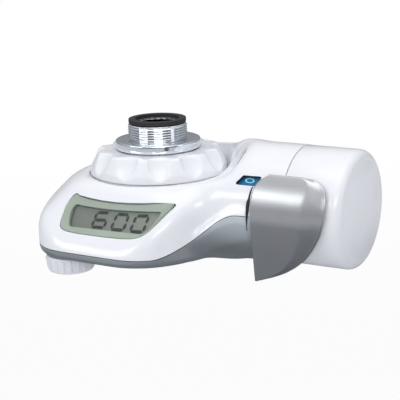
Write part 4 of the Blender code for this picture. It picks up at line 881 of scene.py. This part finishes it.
def build_upper_shell():
    inner = NUT_RADIUS - SEAM_WIDTH
    floor = DECK_Z - SEAM_DEPTH
    top = DECK_Z + 0.0005
    seam = [(inner, floor), (POCKET_RADIUS, floor), (POCKET_RADIUS, top), (inner, top)]
    build_shell("upper_shell", False, 0.0, "white_gloss", "upper_housing",
                prism("opening", display_outline(0.0, 10), display_point, -0.008, 0.006),
                rod("recess", POCKET_RADIUS, DECK_Z, DECK_Z + 0.0009, steps=128),
                turned("groove", seam, 128),
                rod("inlet", INLET_RADIUS + GAP, DECK_Z - 0.006, DECK_Z + 0.002),
                window_tool())


def build_lower_shell():
    low = RIM_Z - 0.002
    tools = [rod("outlet", NOZZLE_RADIUS + GAP, low, RIM_Z + WALL + 0.004, OUTLET)]
    for x, y in SCREW_PLACES:
        tools.append(rod("clear", SCREW_SHANK + GAP, low, RIM_Z + WALL + 0.002, (x, y, 0), steps=24))
        tools.append(rod("sink", SCREW_HEAD + GAP, low, RIM_Z + WALL / 2, (x, y, 0), steps=40))
    build_shell("lower_shell", True, -GAP, "grey_satin", "lower_housing", *tools)


# Inlet stack

def scallop_shape(radius, height, turn):
    """Finger hollows: wide at the crown, narrowing to a round foot above the base."""
    if radius < NUT_TOP_RADIUS - 0.0035:
        return radius
    pitch = 2.0 * math.pi / NUT_SCALLOPS
    away = (turn - SCALLOP_TURN + pitch / 2) % pitch - pitch / 2
    aside = away * NUT_RADIUS / SCALLOP_HALF_WIDTH
    rise = (height - (NUT_TOP_Z - 0.0008)) / SCALLOP_LENGTH
    reach = 1.0 - aside * aside - rise * rise
    if reach <= 0.0:
        return radius
    return radius - SCALLOP_DEPTH * reach ** SCALLOP_FULLNESS


def build_nut():
    bore = SKIRT_RADIUS + GAP
    top = NUT_TOP_Z
    low = NUT_BASE_Z
    corners = [
        (INLET_RADIUS + GAP, low, 0.0),
        (NUT_RADIUS, low, 0.0004),
        (NUT_RADIUS - 0.0003, low + 0.0030, 0.0040),
        (NUT_TOP_RADIUS + 0.0004, top, 0.0018),
        (bore + 0.0012, top, 0.0),
        (bore, top - 0.0004, 0.0),
        (bore, low + 0.0016, 0.0),
        (INLET_RADIUS + GAP, low + 0.0016, 0.0),
    ]
    coarse = rounded_profile(corners, 8)
    profile = []
    for first, second in zip(coarse, coarse[1:] + coarse[:1]):
        span = math.dist(first, second)
        outer = min(first[0], second[0]) > NUT_TOP_RADIUS - 0.006
        pieces = max(int(span / 0.00045), 1) if outer and max(first[1], second[1]) > low + 0.0001 else 1
        for k in range(pieces):
            profile.append(tuple(a + (b - a) * k / pieces for a, b in zip(first, second)))
    nut = turned("nut_body", profile, 288, smooth_angle=50.0, shape=scallop_shape)
    finish_piece(nut, "nut", "white_gloss", "ring_nut")


def build_adapter():
    """The chrome adapter, with its thread cut round the neck."""
    edge = 0.0005
    corners = [
        (ADAPTER_BORE, SKIRT_Z, 0.0002),
        (SKIRT_RADIUS, SKIRT_Z, 0.0003),
        (SKIRT_RADIUS, -ADAPTER_RING, 0.0),
        (ADAPTER_RADIUS, -ADAPTER_RING, edge),
        (ADAPTER_RADIUS, 0.0, edge),
        (THREAD_RADIUS - 0.0006, 0.0, 0.0),
    ]
    profile = rounded_profile(corners, 5)
    neck = []
    count = 66
    for k in range(1, count):
        neck.append((THREAD_RADIUS, THREAD_LENGTH * k / count))
    profile += neck + [(THREAD_RADIUS - 0.0007, THREAD_LENGTH), (ADAPTER_BORE + 0.0003, THREAD_LENGTH),
                       (ADAPTER_BORE, THREAD_LENGTH - 0.0003)]

    def thread(radius, height, turn):
        if abs(radius - THREAD_RADIUS) > 1e-6 or height <= 0.0:
            return radius
        phase = (height / THREAD_PITCH - turn / (2.0 * math.pi)) % 1.0
        wave = 1.0 - abs(2.0 * phase - 1.0)
        ends = min(height / 0.0009, (THREAD_LENGTH - height) / 0.0006, 1.0)
        return radius - 0.00055 * (1.0 - wave * ends)

    adapter = turned("adapter_body", profile, 144, smooth_angle=40.0, shape=thread)
    finish_piece(adapter, "housing", "chrome_plate", "tap_adapter")


# Display pieces

def build_bezel():
    """The frame round the panel: sunk at its top, flush with the face towards its bottom."""
    face = -BEZEL_SINK
    back = face - BEZEL_DEPTH
    steps = 10
    levels = [
        (GAP, back), (GAP, face - 0.00025), (GAP + 0.0002, face), (0.0009, face), (0.0013, face - 0.0001),
        (0.0020, face - 0.0003), (DISPLAY_MARGIN - 0.0010, face - 0.0006),
        (DISPLAY_MARGIN - 0.0003, face - 0.0007), (DISPLAY_MARGIN, face - 0.0009), (DISPLAY_MARGIN, back),
    ]
    points = []
    for shrink, depth in levels:
        outline = display_outline(shrink, steps)
        for a, b in outline:
            lift = BEZEL_RISE - (BEZEL_RISE + BEZEL_DIP) * float(smooth_step(-0.007, 0.0, b))
            points.append(display_point(a, b, depth if depth == back else depth + lift))
    faces = grid_faces(len(levels), len(outline), True, True)
    bezel = raw_object("bezel_ring", points, faces, 40.0)
    finish_piece(bezel, "housing", "pale_green_frame", "display_bezel")


DIGITS = (
    (((-7.7, -6.3), (-2.2, -5.9), (-8.5, -12.35), (-2.8, -12.0)), "acdefg"),
    (((1.6, -5.85), (6.9, -5.75), (0.5, -12.3), (6.2, -12.0)), "abcdef"),
    (((10.3, -5.7), (15.8, -5.1), (9.3, -12.05), (15.0, -11.7)), "abcdef"))


def build_crystal():
    face = -BEZEL_SINK - 0.0019
    edge = display_outline(DISPLAY_MARGIN + 0.0001, 8)
    panel = prism("crystal", edge, display_point, face - 0.0012, face)
    finish_piece(panel, "housing", "lcd_grey", "lcd_panel")
    edge = display_outline(DISPLAY_MARGIN + 0.0002, 8)
    pane = prism("crystal_cover", edge, display_point, -BEZEL_SINK - 0.0012, -BEZEL_SINK - 0.0004)
    finish_piece(pane, "housing", "clear_lens", "display_window")
    ink = printed("crystal ink", (0.020, 0.025, 0.021), 0.5, 1500.0,
                  (0.016, 0.021, 0.017), (0.026, 0.032, 0.027), Specular_IOR_Level=0.2)
    bars = bmesh.new()
    weight = 0.21
    cut = 0.03
    ends = {
        "a": ((0, 1), (1, 1)), "b": ((1, 1), (1, 0.5)), "c": ((1, 0.5), (1, 0)), "d": ((0, 0), (1, 0)),
        "e": ((0, 0.5), (0, 0)), "f": ((0, 1), (0, 0.5)), "g": ((0, 0.5), (1, 0.5)),
    }
    normal = Vector((0.0, -math.cos(FRONT_TILT), math.sin(FRONT_TILT)))
    lift = face + 0.00005
    for corners, lit in DIGITS:
        top_left, top_right, low_left, low_right = (Vector(c) * 0.001 for c in corners)
        for key in lit:
            first, second = (Vector(p) for p in ends[key])
            way = (second - first).normalized()
            side = Vector((-way.y, way.x)) * weight / 2
            taper = way * (weight / 2)
            a = first + way * cut
            b = second - way * cut
            outline = [a, a + taper - side, b - taper - side, b, b - taper + side, a + taper + side]
            verts = []
            for point in outline:
                spot = low_left.lerp(low_right, point.x).lerp(top_left.lerp(top_right, point.x), point.y)
                verts.append(bars.verts.new(display_point(spot.x, spot.y, lift)))
            bars.faces.new(verts)
    mesh = bpy.data.meshes.new("crystal_digits")
    bmesh.ops.recalc_face_normals(bars, faces=bars.faces)
    grown = bmesh.ops.extrude_face_region(bars, geom=list(bars.faces))
    moved = [item for item in grown["geom"] if isinstance(item, bmesh.types.BMVert)]
    bmesh.ops.translate(bars, verts=moved, vec=normal * 0.00004)
    bmesh.ops.recalc_face_normals(bars, faces=bars.faces)
    bars.to_mesh(mesh)
    bars.free()
    finish_piece(linked("crystal_digits", mesh), "housing", "lcd_grey", material=ink)


# Selector

# The lever's right edge, crease and left edge, in millimetres: distance from its top, place along X
LEVER_EDGE_POINTS = (
    (0.0, 76.0), (0.4, 78.6), (1.65, 80.6), (3.7, 82.6), (7.0, 83.5), (10.3, 83.6), (14.9, 83.2),
    (20.9, 81.5), (26.2, 78.5), (30.5, 75.4), (34.3, 71.1), (37.4, 66.4), (40.1, 60.3), (41.7, 55.4))
LEVER_CREASE_POINTS = (
    (0.0, 73.5), (1.0, 76.2), (2.5, 77.0), (4.3, 76.9), (9.5, 75.5), (18.0, 75.3), (24.0, 73.8), (30.0, 71.3),
    (34.6, 68.0), (37.4, 64.5), (40.1, 59.6), (41.7, 55.2))
LEVER_LEFT_POINTS = (
    (0.0, 60.6), (0.3, 59.8), (1.4, 58.0), (3.2, 56.0), (5.0, 54.9), (7.8, 54.35), (11.0, 54.1), (41.7, 54.1))


def smooth_along(points, distance):
    """Place along X at a distance from the lever's top, with the line's corners eased."""
    distances, places = np.array(points).T * 0.001
    reach = 0.0009
    return float(sum(np.interp(distance + reach * k / 3, distances, places) for k in range(-3, 4)) / 7)


def lever_path(distance):
    """Point and outward direction on the lever's inner face, from its top edge to its tip."""
    arc = (LEVER_TOP_ANGLE - LEVER_BEND_ANGLE) * LEVER_INNER - LEVER_EASE / 2
    angle = LEVER_TOP_ANGLE - min(distance, arc) / LEVER_INNER
    out = Vector((0.0, -math.cos(angle), math.sin(angle)))
    place = out * LEVER_INNER + BARREL_AXIS
    walked = arc
    while walked < distance:
        step = min(distance - walked, 0.0002)
        share = min((walked + step / 2 - arc) / LEVER_EASE, 1.0)
        lean = angle + (-LEVER_BLADE_LEAN - angle) * share
        out = Vector((0.0, -math.cos(lean), math.sin(lean)))
        place += Vector((0.0, -out.z, out.y)) * step
        walked += step
    return place, out


def lever_height(x, left, right, crease, end_distance):
    """Thickness: full on the front face, falling past the crease, rounded at the rim."""
    thin = 0.0009
    fall = min(max((x - crease + 0.0010) / max(right - crease, 0.0004), 0.0), 1.0)
    eased = fall * fall * (3.0 - 2.0 * fall) * 0.35 + fall * 0.65
    height = LEVER_THICKNESS - (LEVER_THICKNESS - thin) * eased
    rim = min(x - left, right - x, end_distance)
    roll = 0.0006
    if rim < roll:
        height -= roll * (1.0 - math.sqrt(max(1.0 - (1.0 - rim / roll) ** 2, 0.0)))
    return height


def build_lever():
    total = (LEVER_TOP_ANGLE - LEVER_BEND_ANGLE) * LEVER_INNER + LEVER_BLADE_LENGTH
    near_ends = [0.0, 0.00008, 0.0002, 0.0004, 0.0006, 0.0009]
    middle = list(np.linspace(0.0013, total - 0.0013, 110))
    distances = near_ends + middle + [total - d for d in reversed(near_ends)]
    shares = [0.0, 0.002, 0.006, 0.012, 0.020, 0.030] + list(np.linspace(0.05, 0.95, 40))
    shares += [0.970, 0.980, 0.988, 0.994, 0.998, 1.0]
    columns = len(shares)
    outer = []
    inner = []
    for distance in distances:
        left = smooth_along(LEVER_LEFT_POINTS, distance)
        right = smooth_along(LEVER_EDGE_POINTS, distance)
        crease = min(smooth_along(LEVER_CREASE_POINTS, distance), right - 0.0004)
        place, out = lever_path(distance)
        end_distance = min(distance, total - distance)
        for share in shares:
            x = left + (right - left) * share
            inner.append(place + Vector((x, 0, 0)))
            outer.append(place + Vector((x, 0, 0))
                         + out * lever_height(x, left, right, crease, end_distance))
    rows = len(distances)
    count = rows * columns
    faces = grid_faces(rows, columns)
    faces += [tuple(i + count for i in face[::-1]) for face in grid_faces(rows, columns)]
    rim = list(range(columns))
    rim += [i * columns + columns - 1 for i in range(1, rows)]
    rim += [(rows - 1) * columns + j for j in range(columns - 2, -1, -1)]
    rim += [i * columns for i in range(rows - 2, 0, -1)]
    for a, b in zip(rim, rim[1:] + rim[:1]):
        faces.append((a, b, b + count, a + count))
    lever = raw_object("lever_blade", outer + inner, faces, 40.0)
    web = arc_patch("lever_web", DRUM_RADIUS - 0.0004, LEVER_INNER + 0.0005, WEB_START,
                    WEB_START + WEB_WIDTH, WEB_ANGLE - WEB_SPAN / 2, WEB_ANGLE + WEB_SPAN / 2)
    finish_piece(web, "selector", "silver_paint")
    finish_piece(lever, "selector", "silver_paint", "selector_lever")


def build_lever_gap_shadow():
    """Painted shadow: a black strip along the parting between the housing and the lever's left side."""
    root = 0.0218
    narrow = 0.0002
    widening = 0.0007
    steps = 48
    sections = []
    for i in range(steps + 1):
        share = i / steps
        angle = math.radians(LEVER_GAP_SHADOW_TOP - LEVER_GAP_SHADOW_SPAN * share)
        distance = (LEVER_TOP_ANGLE - angle) * LEVER_INNER
        left = smooth_along(LEVER_LEFT_POINTS, distance) - LEVER_GAP_SHADOW_AWAY
        right = left + narrow + widening * math.sin(math.pi * min(share + 0.1, 1.0))
        proud = float(barrel_skin(left, BARREL_Z + BARREL_RADIUS * math.sin(angle)))
        proud += 0.00009 + LEVER_GAP_SHADOW_PROUD * float(smooth_step(0.24, 0.40, share))
        sections.append((angle, root, proud, left, right))
    # a black strip standing in for the shade in the gap beside the lever
    finish_piece(barrel_band("lever_gap_shadow", sections), "housing", "black_rubber")


def build_label():
    span = LEVER_SWING + LABEL_TOP_ANGLE - math.radians(WINDOW_CORNERS[0][1] - 8.0)
    label = arc_patch("label_film", DRUM_RADIUS - LABEL_THICKNESS + GAP, DRUM_RADIUS + 0.0001, LABEL_START,
                      LABEL_START + LABEL_WIDTH, LABEL_TOP_ANGLE - span, LABEL_TOP_ANGLE, 60)
    finish_piece(label, "selector", "blue_label", "selector_label")
    steps = 48
    middle_x = 0.0505
    middle_angle = math.radians(33.6)
    surface = DRUM_RADIUS + 0.0001
    points = []
    for lift, radius in ((0.0, 0.00066), (0.00006, 0.00068), (0.00006, 0.00096), (0.0, 0.00098)):
        for k in range(steps):
            turn = 2.0 * math.pi * k / steps
            points.append(barrel_point(middle_x + 2.0 * radius * math.cos(turn), surface + lift,
                                       middle_angle + radius * math.sin(turn) / surface))
    ring = raw_object("label_ring", points, grid_faces(4, steps, True, True))
    cyan = printed("printed cyan", (0.300, 0.850, 0.960), 0.35, 900.0,
                   (0.270, 0.820, 0.950), (0.400, 0.900, 0.970))
    finish_piece(ring, "selector", "blue_label", material=cyan)


# Cover and outlet

def build_cover():
    start = COVER_START
    length = COVER_LENGTH
    bore = BAY_RADIUS + 0.0004
    profile = [(bore, start), (COVER_RADIUS - 0.0003, start), (COVER_RADIUS - 0.00008, start + 0.0001),
               (COVER_RADIUS, start + 0.0003), (COVER_RADIUS - 0.00005, start + length / 2)]
    rounding = start + length - COVER_EDGE
    for k in range(0, 13):
        turn = math.radians(7.5 * k)
        profile.append((COVER_RADIUS - 0.0001 - COVER_EDGE * (1.0 - math.cos(turn)),
                        rounding + COVER_EDGE * math.sin(turn)))
    rim = profile[-1][0]
    for k in range(1, 24):
        share = 1.0 - k / 24
        profile.append((rim * share, rounding + COVER_EDGE + COVER_CROWN * (1.0 - share ** 2)))
    crown = rounding + COVER_EDGE + COVER_CROWN
    profile += [(0.0007, crown - 0.00002), (0.0005, crown - 0.0003), (0.00002, crown - 0.0003)]
    end = rounding + COVER_EDGE - COVER_WALL
    inside = COVER_RADIUS - COVER_WALL
    profile += [(0.00002, end + COVER_CROWN), (inside - COVER_EDGE, end), (inside - 0.001, end - 0.0012),
                (inside, end - COVER_EDGE), (inside, start + COVER_SKIRT + 0.0008),
                (bore, start + COVER_SKIRT)]
    cover = turned("cover_shell", profile, 160, BARREL_AXIS, "X", 32.0)
    finish_piece(cover, "cover", "white_gloss", "cartridge_cover")


def wire(tree, nodes, *links):
    """Join named nodes; each link is (source, output, target, input)."""
    for source, out, target, into in links:
        tree.links.new(nodes[source].outputs[out], nodes[target].inputs[into])


def rib_tree(material, values):
    """Upright ribs on a circle, leaning with the taper of what carries them."""
    tree = bpy.data.node_groups.new("collar ribs", "GeometryNodeTree")
    tree.interface.new_socket("Geometry", in_out="INPUT", socket_type="NodeSocketGeometry")
    sockets = {}
    for name, value in values.items():
        kind = "NodeSocketInt" if isinstance(value, int) else "NodeSocketFloat"
        sockets[name] = tree.interface.new_socket(name, in_out="INPUT", socket_type=kind).identifier
    tree.interface.new_socket("Geometry", in_out="OUTPUT", socket_type="NodeSocketGeometry")
    nodes = {}
    for name, kind in (
            ("given", "NodeGroupInput"), ("made", "NodeGroupOutput"), ("ring", "GeometryNodeMeshCircle"),
            ("rib", "GeometryNodeMeshCylinder"), ("spread", "GeometryNodeInstanceOnPoints"),
            ("angle", "ShaderNodeMath"), ("index", "GeometryNodeInputIndex"), ("share", "ShaderNodeMath"),
            ("euler", "ShaderNodeCombineXYZ"), ("real", "GeometryNodeRealizeInstances"),
            ("finish", "GeometryNodeSetMaterial")):
        nodes[name] = tree.nodes.new(kind)
    nodes["rib"].inputs["Vertices"].default_value = 10
    nodes["angle"].operation = "MULTIPLY"
    nodes["share"].operation = "DIVIDE"
    nodes["share"].inputs[0].default_value = 2.0 * math.pi
    nodes["finish"].inputs["Material"].default_value = material
    wire(tree, nodes,
         ("given", "Count", "ring", "Vertices"), ("given", "Ring Radius", "ring", "Radius"),
         ("given", "Rib Radius", "rib", "Radius"), ("given", "Rib Length", "rib", "Depth"),
         ("given", "Count", "share", 1), ("index", 0, "angle", 0), ("share", 0, "angle", 1),
         ("given", "Lean", "euler", "Y"), ("angle", 0, "euler", "Z"), ("ring", "Mesh", "spread", "Points"),
         ("rib", "Mesh", "spread", "Instance"), ("euler", 0, "spread", "Rotation"),
         ("spread", 0, "real", 0), ("real", 0, "finish", "Geometry"), ("finish", 0, "made", 0))
    return tree, sockets


def build_outlet():
    top = RIM_Z - GAP
    low = RIM_Z - COLLAR_DROP
    mouth = NOZZLE_RADIUS - 0.0008
    lip_top = low + COLLAR_LIP
    corners = [
        (mouth, low, 0.0003),
        (COLLAR_RADIUS - 0.0004, low, 0.0008),
        (COLLAR_TOP_RADIUS - 0.0004, top, 0.0005),
        (NOZZLE_RADIUS + GAP, top, 0.0),
        (NOZZLE_RADIUS + GAP, lip_top, 0.0),
        (mouth, lip_top, 0.0),
    ]
    collar = turned("collar_body", rounded_profile(corners, 5), 96, OUTLET)
    finish_piece(collar, "outlet", "white_gloss", "outlet_collar")
    values = {"Count": COLLAR_RIBS, "Ring Radius": (COLLAR_TOP_RADIUS + COLLAR_RADIUS) / 2 - 0.0004,
              "Rib Radius": 0.00042, "Rib Length": COLLAR_DROP - GAP - 0.0018,
              "Lean": math.atan((COLLAR_TOP_RADIUS - COLLAR_RADIUS) / (top - low))}
    tree, sockets = rib_tree(FINISHES["white_gloss"], values)
    ribs = linked("collar_ribs", bpy.data.meshes.new("collar_ribs"))
    modifier = ribs.modifiers.new("ribs", "NODES")
    modifier.node_group = tree
    for name, value in values.items():
        modifier[sockets[name]] = value
    keep_result(ribs)
    ribs.data.transform(Matrix.Translation(OUTLET + Vector((0, 0, (top + low) / 2))))
    ribs.data.shade_smooth()
    ribs.data.set_sharp_from_angle(angle=math.radians(50.0))
    finish_piece(ribs, "outlet", "white_gloss")


# Studio

def build_studio():
    scene = bpy.context.scene
    scene.view_settings.view_transform = "Standard"
    world = bpy.data.worlds.new("studio")
    scene.world = world
    world.use_nodes = True
    tree = world.node_tree
    nodes = {"back": tree.nodes["Background"], "end": tree.nodes["World Output"]}
    for name, kind in (("place", "TexCoord"), ("split", "SeparateXYZ"), ("ramp", "ValToRGB"),
                       ("white", "Background"), ("rays", "LightPath"), ("mix", "MixShader")):
        nodes[name] = tree.nodes.new("ShaderNode" + kind)
    stops = nodes["ramp"].color_ramp.elements
    for stop, place, level in zip((stops[0], stops[1], stops.new(0.5)), (0.0, 0.7, 0.35), (0.25, 0.56, 0.38)):
        stop.position = place
        stop.color = (0.90 * level, 0.92 * level, level, 1.0)
    nodes["back"].inputs["Strength"].default_value = 1.0
    nodes["white"].inputs["Strength"].default_value = 1.0
    nodes["white"].inputs["Color"].default_value = (1.0, 1.0, 1.0, 1.0)
    wire(tree, nodes,
         ("place", "Generated", "split", 0), ("split", "Z", "ramp", 0), ("ramp", 0, "back", "Color"),
         ("rays", "Is Camera Ray", "mix", 0), ("back", 0, "mix", 1), ("white", 0, "mix", 2),
         ("mix", 0, "end", "Surface"))

    floor_z = -0.30
    corners = [(x, y, floor_z) for x, y in ((-3, -3), (3, -3), (3, 3), (-3, 3))]
    floor = raw_object("studio_floor", corners, [(0, 1, 2, 3)])
    paint = Paint("studio floor", (0.80, 0.80, 0.81), 0.9)
    east, north, _ = paint.split(paint.place())
    away = (east * east + north * north) ** 0.5
    tree = paint.tree
    nodes = {"rays": tree.nodes.new("ShaderNodeLightPath"), "glow": tree.nodes.new("ShaderNodeEmission"),
             "mix": tree.nodes.new("ShaderNodeMixShader"), "paint": paint.shader,
             "end": tree.nodes["Material Output"]}
    mirrored = Shade(paint, nodes["rays"].outputs["Is Glossy Ray"])
    camera_ray = Shade(paint, nodes["rays"].outputs["Is Camera Ray"])
    heading = paint.node("ShaderNodeMath", {"operation": "ARCTAN2"}, {0: north, 1: east})
    flag = 1.0 - abs(heading + 0.63).step(0.05, 0.17)
    near = paint.blend(mirrored, (0.74, 0.75, 0.77), (0.13, 0.14, 0.16))
    far = paint.blend(mirrored * flag * 0.9, (0.90, 0.91, 0.93), (0.05, 0.06, 0.08))
    paint.color(paint.blend(away.step(0.45, 1.0), near, far))
    floor.data.materials.append(paint.material)
    nodes["glow"].inputs["Strength"].default_value = 1.0
    paint.feed(nodes["mix"].inputs[0], camera_ray * (0.92 + 0.08 * away.step(0.6, 1.5)))
    wire(tree, nodes, ("paint", 0, "mix", 1), ("glow", 0, "mix", 2), ("mix", 0, "end", "Surface"))

    target = Vector((0.020, -0.004, -0.020))
    for name, place, size, power, color in (
            ("top box", (0.10, -0.15, 0.60), (0.60, 0.50), 1.18, (1.0, 1.0, 1.0)),
            ("front box", (0.40, -0.60, 0.28), (0.45, 0.22), 1.25, (1.0, 1.0, 1.0)),
            ("left box", (-0.36, -0.62, 0.24), (0.50, 0.14), 1.05, (0.98, 0.99, 1.0)),
            ("right box", (0.75, 0.05, 0.15), (0.20, 0.50), 0.38, (1.0, 1.0, 1.0))):
        lamp = bpy.data.lights.new(name, "AREA")
        lamp.shape = "RECTANGLE"
        lamp.size, lamp.size_y = size
        lamp.energy = power
        lamp.color = color
        item = linked(name, lamp)
        item.location = place
        item.rotation_euler = (target - Vector(place)).to_track_quat("-Z", "Y").to_euler()


place_camera()
build_studio()
paint_packed_nodes()
build_upper_shell()
build_window_shadow_liner()
build_lower_shell()
build_nut()
build_adapter()
build_bezel()
build_crystal()
build_lever()
build_lever_gap_shadow()
build_label()
build_cover()
build_outlet()
